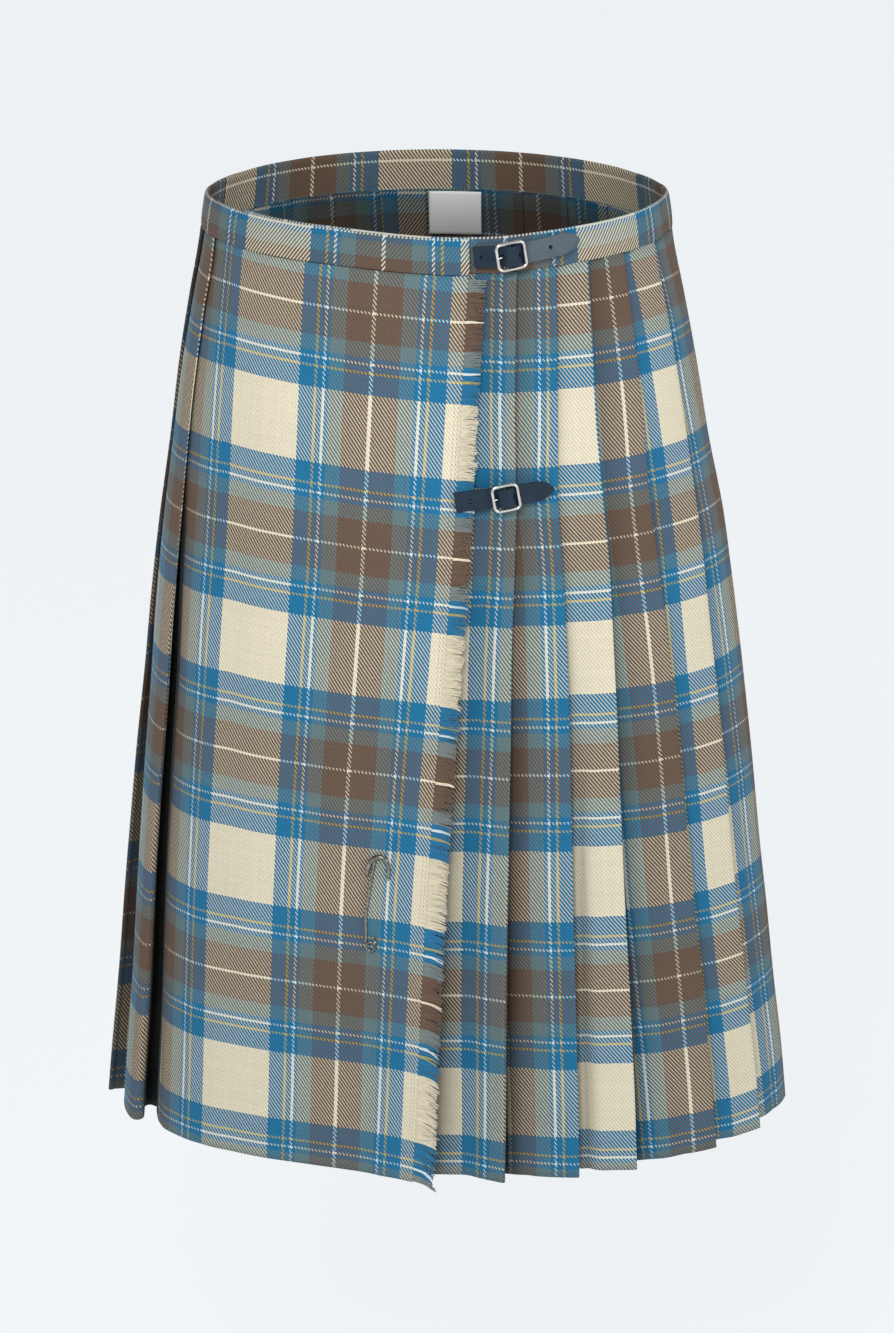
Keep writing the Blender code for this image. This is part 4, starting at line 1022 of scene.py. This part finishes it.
def makeBand(name, node, start, end, under):
    section = np.array(band["section"])
    rows = np.linspace(0, len(section) - 1, 3 * len(section) - 2)
    profile = curveThrough(rows, section)
    stations = np.linspace(start, end, max(2, round((end - start) / band["step"])) + 1)
    height = profile[:, 1]
    stretch = ringLength(height) / ringLength(0.0)
    along = stations[None] * stretch[:, None]
    low, high = band["rise"]
    clear = -band["underClear"] * np.clip(1 - (along - low) / (high - low), 0, 1)
    out = profile[:, :1] + (clear if under else 0.0)
    out = out + band["ripple"] * np.sin(along / 4.6 + 0.6 * np.sin(along / 17.0)) * (profile[:, :1] > -1.5)
    rise, front = rimRise(along)
    depth = -height[:, None] * (1.0 + form["frontSeamRise"] / form["top"] * front)
    points = onRing(along, rise - depth, out)
    top = round(band["sectionTop"] * 3)
    isOuter = np.arange(len(rows) - 1)[:, None] >= top
    outerPlace = stations - (band["underPale"] - tartan["acrossRepeat"] / 2 if under else band["overPivot"])
    innerPlace = stations - (ringLength(0.0) / 2 - band["innerPaleX"]) + tartan["acrossRepeat"] / 2
    place = np.where(isOuter, outerPlace, innerPlace) * mm
    outerDown, innerDown = band["outerTopPlace"] + depth, depth - band["innerPivotDepth"]
    high = np.where(isOuter, outerDown[:-1], innerDown[:-1]) * mm
    low = np.where(isOuter, outerDown[1:], innerDown[1:]) * mm
    uv = np.stack([np.stack([place[:, :-1], high[:, :-1]], -1), np.stack([place[:, :-1], low[:, :-1]], -1),
                   np.stack([place[:, 1:], low[:, 1:]], -1), np.stack([place[:, 1:], high[:, 1:]], -1)],
                  axis=-2)
    # Painted shade: the inner layer is darkened as it lies in the shade of the hollow.
    shade = band["innerShade"] * np.clip((top - rows) / 3.0, 0.0, 1.0)[:, None] + 0.0 * along
    piece = gridMesh(name, [{"points": points, "uv": uv, "fold": shade}], looks["band"], band["wall"] * mm)
    settle(piece, [node])
    drop, width, area = sheetSize(np.swapaxes(points, 0, 1))
    print(name + ":", width, "by", drop, "m")


# Fringe of the front apron's free edge: loose weft threads in two layers, gathered into small locks.
fringe = {
    "root": 10.9,
    "pitch": 0.78,
    "top": -21.8,
    "bottom": -585.5,
    "layers": 2,
    "stations": 7,
    "sides": 4,
    "thread": 0.35,
    "reachTop": 10.4,
    "reachHem": 13.2,
    "droopTop": 0.9,
    "droopHem": 7.0,
    "lock": (3, 8),
    "sideWave": 0.22,
    "outWave": 0.18,
    "strayWave": 1.2,
    "looseSpread": 0.3,
    "liftSpread": 0.22,
    "strayShare": 0.06,
}


def makeFringe():
    pitch = fringe["pitch"]
    count = int((fringe["top"] - fringe["bottom"]) / pitch)
    height = np.tile(fringe["top"] - (np.arange(count) + 0.5) * pitch, fringe["layers"])
    layer = np.repeat(np.arange(fringe["layers"]), count)
    height = height - layer * pitch / 2
    total = len(height)
    share = lieShare(height)
    lockSizes = randomNumbers.integers(*fringe["lock"], size=count)
    lockOf = np.tile(np.repeat(np.arange(count), lockSizes)[:count], fringe["layers"])
    lockCentre = np.bincount(lockOf, height) / np.maximum(np.bincount(lockOf), 1)
    lockLength = randomNumbers.normal(0.0, 0.7, size=lockOf.max() + 1)
    lockDrop = randomNumbers.normal(0.0, 0.5, size=lockOf.max() + 1)
    reach = fringe["reachTop"] + (fringe["reachHem"] - fringe["reachTop"]) * share
    loose = 0.35 + 0.65 * share
    reach = reach + (lockLength[lockOf] + randomNumbers.normal(0.0, 0.5, total)) * loose
    droop = fringe["droopTop"] + (fringe["droopHem"] - fringe["droopTop"]) * share ** 2
    droop = droop + lockDrop[lockOf] * (0.5 + share) + randomNumbers.normal(0.0, 0.25, total)
    gather = (lockCentre[lockOf] - height) * randomNumbers.uniform(0.1, 0.55, total) * loose
    gather = gather + randomNumbers.normal(0.0, fringe["looseSpread"], total) * loose
    stray = np.where(randomNumbers.random(total) < fringe["strayShare"], 1.0, 0.0)
    waves = randomNumbers.uniform(0.0, 2 * math.pi, (2, total))
    lift = randomNumbers.normal(0.0, fringe["liftSpread"], total) + (layer * 0.5 - 0.15)
    lift = lift + stray * randomNumbers.uniform(0.2, 0.9, total)
    part = np.linspace(0.0, 1.0, fringe["stations"])[:, None]
    inset = fringe["root"] - reach * part
    rise = (gather * part ** 1.5 - droop * part ** 2.2
            + fringe["sideWave"] * np.sin(part * 7.0 + waves[0]) * part
            + fringe["strayWave"] * stray * np.sin(part * 4.0 + waves[1]) * part)
    level = height + rise
    clearOfHem = np.maximum(level, form["hem"] - 5.5 * part)
    along = byHeight(form["fringeLine"], height) - inset
    out = apronOut(np.clip(inset, 0.0, None), height) + lift * part ** 0.7
    out = out + fringe["outWave"] * np.sin(part * 9.0 + waves[1]) * part
    centre = onRing(along, clearOfHem, out)
    radius = fringe["thread"] * (1.0 - 0.35 * part ** 3) * randomNumbers.uniform(0.85, 1.15, total) * mm
    turns = 2 * math.pi * (np.arange(fringe["sides"]) + 0.5) / fringe["sides"]
    forward = np.gradient(centre, axis=0)
    forward /= np.linalg.norm(forward, axis=-1, keepdims=True)
    upward = np.zeros_like(forward)
    upward[..., 2] = 1.0
    upward -= forward * (forward * upward).sum(-1, keepdims=True)
    upward /= np.linalg.norm(upward, axis=-1, keepdims=True)
    outward = np.cross(upward, forward)
    around = (upward[:, :, None] * np.cos(turns)[None, None, :, None]
              + outward[:, :, None] * np.sin(turns)[None, None, :, None])
    points = centre[:, :, None] + around * radius[:, :, None, None]  # stations, threads, sides, 3
    points = np.swapaxes(points, 0, 1)
    stations, sides = fringe["stations"], fringe["sides"]
    base = np.arange(total)[:, None, None] * stations * sides
    ring = np.arange(stations - 1)[None, :, None] * sides
    side = np.arange(sides)[None, None, :]
    beside = (side + 1) % sides
    start = base + ring
    quads = np.stack([start + side, start + beside, start + sides + beside, start + sides + side], axis=-1)
    caps = np.stack([np.arange(sides)[::-1], (stations - 1) * sides + np.arange(sides)])[:, None]
    ends = (base[:, 0] + caps).reshape(-1, sides)
    faces = np.concatenate([quads.reshape(-1, 4), ends])
    down = clothDown(height, byHeight(form["fringeLine"], height))
    owner = faces[:, 0] // (stations * sides)
    station = (faces // sides) % stations
    uv = np.stack([station * 0.002, np.broadcast_to(down[owner][:, None], station.shape)], axis=-1)
    piece = newPiece("apronFringe", points.reshape(-1, 3), faces.tolist(), looks["fringe"], uv)
    settle(piece, ["fringe"])
    print("fringe threads:", total)
    return piece


def tubeGrid(path, radius, sides=12, closed=False, flatten=1.0, outward=None):
    # Round or flattened wire: a circle carried along a path, turned as little as possible from ring to ring.
    path = np.asarray(path, float)
    count = len(path)
    if closed:
        ahead, behind = np.roll(path, -1, axis=0), np.roll(path, 1, axis=0)
    else:
        ahead = np.concatenate([path[1:], path[-1:]])
        behind = np.concatenate([path[:1], path[:-1]])
    forward = ahead - behind
    forward /= np.linalg.norm(forward, axis=1, keepdims=True)
    if outward is None:
        across = np.zeros_like(path)
        start = np.cross(forward[0], (0.3, 0.5, 0.81))
        for number in range(count):
            start = start - forward[number] * start.dot(forward[number])
            start = start / np.linalg.norm(start)
            across[number] = start
    else:
        across = np.asarray(outward, float)
        across = across - forward * (forward * across).sum(1, keepdims=True)
        across /= np.linalg.norm(across, axis=1, keepdims=True)
    other = np.cross(forward, across)
    turns = 2 * math.pi * np.arange(sides) / sides
    radius = np.broadcast_to(np.asarray(radius, float), (count,))[:, None, None]
    cosine, sine = np.cos(turns)[None, :, None], np.sin(turns)[None, :, None]
    ring = across[:, None] * cosine * flatten + other[:, None] * sine
    points = path[:, None] + ring * radius
    if closed:
        points = np.concatenate([points, points[:1]])
    return {"points": points, "round": True, "caps": not closed, "flip": True}


# Running stitches beside the fringe: insets of the rows, stitch and gap, thickness.
stitches = {"insets": (11.9, 14.0), "stitch": 1.9, "gap": 0.7, "radius": 0.16, "sink": 0.05, "top": -22.5}


def makeStitches():
    grids = []
    period = stitches["stitch"] + stitches["gap"]
    starts = np.arange(stitches["top"], form["hem"] + 3.0, -period)
    part = np.linspace(0.0, 1.0, 5)
    for inset in stitches["insets"]:
        for start in starts:
            height = start - part * stitches["stitch"]
            along = byHeight(form["fringeLine"], height) - inset
            surface = apronOut(inset, height) + creaseOut(overApron["creases"], inset, height)
            lift = overApron["wall"] / 2 + stitches["sink"] + 0.10 * np.sin(math.pi * part) - 0.12
            path = onRing(along, height, surface + lift)
            radius = stitches["radius"] * mm * (0.55 + 0.45 * np.sin(math.pi * part))
            grids.append(tubeGrid(path, radius, 5))
    piece = gridMesh("fringeStitches", grids, looks["stitch"])
    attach(piece, "root")
    print("stitches:", len(grids))
    return piece


# Straps, on their own axes in millimetres: along from the frame's centre, across, and out from the ring.
# paintedReflection: how much painted pale reflection the strap's tail gets past the buckle
straps = {
    "waist": {"along": 41.2, "height": -7.6, "slope": 0.104, "start": 21.4, "tip": 81.6, "width": 12.4,
              "tailRise": 0.0015, "halfLength": 8.7, "halfWidth": 8.4, "level": 1.7, "startLevel": -2.9,
              "paintedReflection": 0.85,
              "holes": ((-15.3, 1.25), (-3.9, 1.5), (4.0, 1.25), (23.0, 1.25))},
    "hip": {"along": 37.2, "height": -148.6, "slope": 0.106, "start": 8.4, "tip": 65.4, "width": 11.6,
            "tailRise": 0.0, "halfLength": 8.1, "halfWidth": 8.2, "level": 0.9, "startLevel": 0.9,
            "paintedReflection": 0.0,
            "holes": ((-20.0, 1.25), (-3.9, 1.5), (4.0, 1.25))},
}
strapMake = {"wall": 1.8, "tabWall": 1.2, "gap": 0.3, "wire": 1.0, "corner": 2.6, "lean": 0.05,
             "frameOut": 5.0, "barOut": 3.1, "tabWidth": 10.4, "tabLength": 19.0, "prong": 0.6, "edge": 0.42,
             "bendStart": 8.0, "reflectionStart": 7.0, "reflectionFade": 4.0, "holeHalf": 3.2}


def strapPoint(strap, along, across, out):
    # The strap climbs by its slope, and its tail bends up a little more from past the buckle.
    along, across, out = (np.asarray(each, float) for each in (along, across, out))
    bend = strap["tailRise"] * np.clip(along - strapMake["bendStart"], 0.0, None) ** 2
    height = strap["height"] + strap["slope"] * along + across + bend
    return onRing(strap["along"] + along - strap["slope"] * across, height, out)


def strapPath(strap):
    half = strap["width"] / 2
    low = strapMake["gap"] + strapMake["wall"] / 2
    start, tip = strap["start"] - strap["along"], strap["tip"] - strap["along"]
    level = strap["level"]
    tab = 2 * strapMake["gap"] + strapMake["tabWall"] + strapMake["wall"] / 2
    bar = strap["halfLength"] - strapMake["wire"]
    middle = (start - bar) / 2 - 2.0
    middleLevel = np.interp(middle, (start, -8.0), (strap["startLevel"], level))
    return np.array([
        (start, strap["startLevel"] + low, half), (middle, middleLevel + low, half),
        (-bar - 1.2, level + low, half), (-bar + 0.9, level + low + 0.5, half * 0.97),
        (-4.0, level + 3.9, half * 0.94), (-1.8, level + 6.3, half * 0.93), (0.4, level + 6.9, half * 0.93),
        (2.6, level + 6.2, half * 0.94), (bar - 1.6, level + tab + 0.6, half * 0.97),
        (bar + 0.4, level + tab, half),
        ((bar + tip) / 2, level + tab + 0.1, half), (tip - half * 1.6, level + tab + 0.2, half),
        (tip - half * 0.85, level + tab + 0.2, half * 0.80),
        (tip - half * 0.28, level + tab + 0.2, half * 0.44),
        (tip, level + tab + 0.2, half * 0.12),
    ])


def stripGrid(strap, stations, wall, edge):
    # A flat strip with rounded edges carried along stations of along, out and half width.
    run = np.gradient(stations[:, :2], axis=0)
    run /= np.linalg.norm(run, axis=1, keepdims=True)
    half = wall / 2
    corners = []
    for side, first in ((1, 0.0), (-1, 180.0)):
        for cornerAcross, degrees in ((side, first), (-side, first + 90.0)):
            for turn in np.radians(np.linspace(degrees, degrees + 90.0, 5)):
                corners.append((cornerAcross, math.cos(turn), side, math.sin(turn)))
    corners = np.array(corners)
    width = stations[:, 2:3]
    edgeRadius = np.minimum(edge, width * 0.5)
    across = corners[None, :, 0] * (width - edgeRadius) + corners[None, :, 1] * edgeRadius
    up = corners[None, :, 2] * (half - edge) + corners[None, :, 3] * edge
    along = stations[:, :1] - run[:, 1:2] * up
    out = stations[:, 1:2] + run[:, 0:1] * up
    return {"points": strapPoint(strap, along, across, out), "round": True, "caps": True}


def vertexPlaces(piece):
    places = np.empty(len(piece.data.vertices) * 3, np.float32)
    piece.data.vertices.foreach_get("co", places)
    return places.reshape(-1, 3)


def cutHoles(piece, cutters):
    # Cut round holes with an exact boolean, keep the result as the piece's own mesh and drop the cutters.
    for cutter in cutters:
        hole = piece.modifiers.new("hole", "BOOLEAN")
        hole.operation = "DIFFERENCE"
        hole.solver = "EXACT"
        hole.object = cutter
    bpy.context.view_layer.update()
    graph = bpy.context.evaluated_depsgraph_get()
    mesh = bpy.data.meshes.new_from_object(piece.evaluated_get(graph))
    mesh.set_sharp_from_angle(angle=math.radians(38.0))
    piece.modifiers.clear()
    piece.data = mesh
    for cutter in cutters:
        bpy.data.objects.remove(cutter, do_unlink=True)


def fineStations(stations, count):
    knots = np.arange(len(stations))
    return smoothly(np.linspace(0, len(stations) - 1, count), knots, stations)


def makeStrap(key):
    strap = straps[key]
    stations = fineStations(strapPath(strap), 100)
    grid = stripGrid(strap, stations, strapMake["wall"], strapMake["edge"])
    # A painted pale reflection on the tail past the buckle, kept as a point attribute.
    past = (stations[:, :1] - strapMake["reflectionStart"]) / strapMake["reflectionFade"]
    paintedReflection = strap["paintedReflection"] * np.clip(past, 0.0, 1.0)
    grid["fold"] = np.broadcast_to(paintedReflection, grid["points"].shape[:2])
    piece = gridMesh("strap" + key.capitalize(), [grid], looks["leather"])
    cutters = []
    for along, radius in strap["holes"]:
        before, out, after = np.interp((along - 0.5, along, along + 0.5), stations[:, 0], stations[:, 1])
        slope = after - before
        lean = np.array((-slope, 1.0)) / math.hypot(slope, 1.0) * strapMake["holeHalf"]
        reach = np.array((-1.0, 1.0))
        ends = strapPoint(strap, along + reach * lean[0], 0.0, out + reach * lean[1])
        cutters.append(gridMesh("holeCutter", [tubeGrid(ends, radius * mm, 20)], looks["leather"]))
    before = vertexPlaces(piece)
    cutHoles(piece, cutters)
    # The cut edge takes the painted reflection share of the nearest vertex of the uncut strap.
    gaps = np.linalg.norm(vertexPlaces(piece)[:, None] - before[None], axis=2)
    share = np.resize(grid["fold"].ravel(), len(before))[np.argmin(gaps, axis=1)]
    piece.data.attributes["fold"].data.foreach_set("value", share.astype(np.float32))
    settle(piece, ["strap_" + key])


def makeBuckle(key):
    strap = straps[key]
    halfLength = strap["halfLength"] - strapMake["wire"]
    halfWidth = strap["halfWidth"] - strapMake["wire"]
    corner, lean, frameOut = strapMake["corner"], strapMake["lean"], strapMake["frameOut"]
    along, across = [], []
    for sideX, sideY, start in ((1, 1, 0.0), (-1, 1, 0.5), (-1, -1, 1.0), (1, -1, 1.5)):
        turn = math.pi * (start + 0.5 * np.linspace(0, 1, 9))
        along.append(sideX * (halfLength - corner) + corner * np.cos(turn))
        across.append(sideY * (halfWidth - corner) + corner * np.sin(turn))
    along, across = np.concatenate(along), np.concatenate(across)
    fill = np.linspace(0, 1, 5)[:-1]
    along = (along[:, None] + (np.roll(along, -1) - along)[:, None] * fill).ravel()
    across = (across[:, None] + (np.roll(across, -1) - across)[:, None] * fill).ravel()
    keep = np.hypot(along - np.roll(along, 1), across - np.roll(across, 1)) > 0.02
    along, across = along[keep], across[keep]
    notch = 0.28 * ridge(across, 0.9) * (along < 0)
    level = strap["level"]
    path = strapPoint(strap, along - lean * across, across + lean * along, level + frameOut - notch)
    outer = strapPoint(strap, along - lean * across, across + lean * along, level + frameOut + 1.0 - notch)
    wire = strapMake["wire"] * mm
    grids = [tubeGrid(path, wire, 14, closed=True, flatten=1.12, outward=outer - path)]
    bar = np.array([
        (halfWidth, frameOut), (halfWidth - 0.7, 3.6), (halfWidth - 1.5, 3.1), (0.0, 3.1),
        (-halfWidth + 1.5, 3.1), (-halfWidth + 0.7, 3.6), (-halfWidth, frameOut),
    ]) + (0.0, level)
    barAcross, barOut = fineStations(bar, 25).T
    grids.append(tubeGrid(strapPoint(strap, -lean * barAcross, barAcross, barOut), wire * 0.9, 12))
    prong = np.array([
        (0.3, 3.1), (-1.9, 3.2), (-3.8, 4.2), (-halfLength + 1.6, frameOut + 0.7),
        (-halfLength - 0.2, frameOut + 1.1), (-halfLength - 0.7, frameOut + 1.05),
    ]) + (0.0, level)
    prongAlong, prongOut = fineStations(prong, 22).T
    radius = strapMake["prong"] * mm * np.clip((5.25 - np.linspace(0, 5, 22)) / 0.9, 0.45, 1.0)
    grids.append(tubeGrid(strapPoint(strap, prongAlong, 0.0 * prongAlong, prongOut), radius, 10))
    piece = gridMesh("buckle" + key.capitalize(), grids, looks["buckle"])
    settle(piece, ["buckle_" + key])


def makeTab(key):
    strap = straps[key]
    level = strap["level"]
    wall, wire = strapMake["tabWall"], strapMake["wire"]
    low = level + strapMake["gap"] + wall / 2
    bar = level + strapMake["barOut"]
    wrap = wire + 0.4 + wall / 2
    half = strapMake["tabWidth"] / 2
    reach = strapMake["tabLength"]
    stations = np.array([
        (reach, low, half * 0.8), (reach - 1.6, low, half), (4.0, low, half), (1.2, low + 0.25, half),
        (-0.9, bar - wrap * 0.86, half), (-wrap, bar - 0.2, half), (-wrap * 0.72, bar + wrap * 0.7, half),
        (0.2, bar + wrap, half), (wrap * 0.8, bar + wrap * 0.72, half), (2.7, low + wall + 0.85, half),
        (4.0, low + wall + 0.4, half),
    ])
    fine = curveThrough(np.linspace(0, len(stations) - 1, 61), stations)
    fine[:, 2] = np.minimum(fine[:, 2], half)
    piece = gridMesh("tab" + key.capitalize(), [stripGrid(strap, fine, wall, 0.3)], looks["leather"])
    slot = []
    for out in (bar - wire - 0.2, bar + 5.0):
        slot.append([strapPoint(strap, along, across, out) for along, across in
                     ((-4.0, -1.4), (-4.0, 1.4), (1.6, 1.4), (1.6, -1.4))])
    grid = {"points": np.array(slot), "round": True, "caps": True}
    cutter = gridMesh("slotCutter", [grid], looks["leather"])
    cutHoles(piece, [cutter])
    settle(piece, ["tab_" + key])


# Kilt pin: along, height, out from the apron, wire radius.
pin = {
    "head": ((-47.2, -386.7, 1.9, 0.9), (-46.6, -382.7, 2.2, 1.3), (-45.2, -378.2, 2.3, 1.3),
             (-42.6, -374.7, 2.4, 1.35), (-39.4, -373.3, 2.4, 1.35), (-36.2, -374.3, 2.4, 1.35),
             (-34.2, -377.3, 2.3, 1.3), (-33.7, -382.7, 2.2, 1.3), (-33.6, -386.9, 1.9, 0.9)),
    "leg": ((-41.8, -375.1, 2.2, 0.9), (-43.6, -383.7, 1.9, 0.9), (-46.6, -402.7, 1.8, 0.9),
            (-48.0, -413.2, 1.8, 0.9), (-48.2, -428.7, 1.8, 0.85)),
    "coilCentre": (-45.4, -432.1),
    "coilRadius": 2.7,
    "coilWire": 0.62,
    "coilTurns": 1.5,
    "coilOut": (1.8, 3.4),
    "sharp": ((-42.6, -429.1, 2.4, 0.6), (-42.4, -427.2, 0.2, 0.6), (-42.2, -425.4, -1.7, 0.58),
              (-38.0, -404.7, -2.2, 0.55), (-34.4, -391.3, -1.9, 0.5), (-34.0, -389.3, 0.0, 0.45),
              (-33.8, -387.3, 1.7, 0.4), (-33.7, -384.7, 2.1, 0.4)),
}


def pinPoint(along, height, out):
    inset = byHeight(form["fringeLine"], height) - along
    crease = creaseOut(overApron["creases"], inset, height)
    return onRing(along, height, apronOut(inset, height) + crease + out)


def makePin():
    leg = fineStations(np.array(pin["leg"]), 33)
    part = np.linspace(0, 1, 56)[1:]
    angle = math.pi + 2 * math.pi * pin["coilTurns"] * part
    low, high = pin["coilOut"]
    coil = np.stack([pin["coilCentre"][0] + pin["coilRadius"] * np.cos(angle),
                     pin["coilCentre"][1] + pin["coilRadius"] * np.sin(angle),
                     low + (high - low) * np.sin(math.pi * part * 0.5), 0.0 * part + pin["coilWire"]], axis=1)
    sharp = fineStations(np.array(pin["sharp"]), 43)
    wire = np.concatenate([leg, coil, sharp])
    grids = [tubeGrid(pinPoint(*wire[:, :3].T), wire[:, 3] * mm, 12)]
    head = np.array(pin["head"])
    head = curveThrough(np.linspace(0, len(head) - 1, 49), head)
    head[:3, 3] *= (0.5, 0.8, 0.95)
    head[-3:, 3] *= (0.95, 0.8, 0.5)
    grids.append(tubeGrid(pinPoint(*head[:, :3].T), head[:, 3] * mm, 14))
    piece = gridMesh("kiltPin", grids, looks["pin"])
    settle(piece, ["kilt_pin"])


# Blank satin label inside the back of the waistband.
label = {
    "left": -5.4,
    "right": 28.0,
    "top": -25.4,
    "bottom": -52.4,
    "out": (-5.5, -5.9, -6.6),
    "wall": 0.45,
    "curl": 0.35,
    "ripple": 0.12,
}


def makeLabel():
    down = np.linspace(0, 1, 17)[:, None]
    across = np.linspace(0, 1, 21)[None]
    height = label["top"] + (label["bottom"] - label["top"]) * down
    out = smoothly(down[:, 0] * 2, (0.0, 1.0, 2.0), label["out"])[:, None]
    out = out - label["curl"] * np.sin(math.pi * across) * down ** 0.7
    out = out + label["ripple"] * np.sin(9.0 * across + 2.0) * down
    x = label["right"] + (label["left"] - label["right"]) * across
    along = ringLength(height) / 2 - x
    points = onRing(along, height, out)
    piece = gridMesh("blankLabel", [{"points": points}], looks["label"], label["wall"] * mm)
    settle(piece, ["label"])
    width, drop, area = sheetSize(points)


apron, apronWidth, apronDrop, apronArea = makeOverApron()
makeUnderApron()
makePleats()
turnLength = float(ringLength(0.0))
makeBand("waistbandOver", "waistband_over", band["meet"] + 0.3, band["overEnd"], False)
backMeet = band["meet"] + turnLength
makeBand("waistbandUnder", "waistband_under", band["underEnd"], backMeet, True)
fringePiece = makeFringe()
stitchPiece = makeStitches()
for strapName in straps:
    makeStrap(strapName)
    makeTab(strapName)
    makeBuckle(strapName)
makePin()
makeLabel()
print("pieces made")

# Studio: a pale floor well below the hem, an even pale surround and two soft lights.
studio = {
    "floor": -1.0,
    "floorHalf": 15.0,
    "pale": (0.863, 0.896, 0.922),
    "surround": 0.34,
    "surroundColour": (0.93, 0.95, 0.97),
    "glow": 0.90,
    "lights": (
        ("keyLight", (-0.5, -2.7, 1.7), (0.0, 0.0, -0.3), 1.1, 60.0, (1.0, 0.99, 0.975)),
        ("fillLight", (2.1, -1.7, 0.9), (0.0, 0.0, -0.3), 1.6, 22.0, (0.98, 0.99, 1.0)),
    ),
}


def makeStudio():
    half, low = studio["floorHalf"], studio["floor"]
    line = np.linspace(-half, half, 5)
    x, y = np.meshgrid(line, line[::-1])
    material, start = newMaterial("paleFloor", {
        "Roughness": 0.9, "Specular IOR Level": 0.1, "Emission Strength": studio["glow"],
    })
    pale = start.plain(studio["pale"])
    shade = start.objectPlace().noise(1.5, 2.0) * 0.01 + 0.20
    feed(material, {"Base Color": pale.scaled(shade), "Emission Color": pale.scaled(1.0)})
    floor = gridMesh("floor", [{"points": np.stack([x, y, 0 * x + low], axis=-1)}], material)
    world = bpy.data.worlds.new("studioSurround")
    world.use_nodes = True
    surround = world.node_tree.nodes["Background"]
    surround.inputs["Color"].default_value = (*studio["surroundColour"], 1.0)
    surround.inputs["Strength"].default_value = studio["surround"]
    bpy.context.scene.world = world
    for name, place, aim, size, power, colour in studio["lights"]:
        data = bpy.data.lights.new(name, "AREA")
        data.shape = "DISK"
        data.size = size
        data.energy = power
        data.color = colour
        light = bpy.data.objects.new(name, data)
        bpy.context.scene.collection.objects.link(light)
        light.location = place
        direction = np.array(aim) - np.array(place)
        yaw = math.atan2(direction[1], direction[0])
        pitch = math.atan2(math.hypot(direction[0], direction[1]), -direction[2])
        light.rotation_euler = (pitch, 0.0, yaw - math.pi / 2)


makeStudio()
print("studio made")
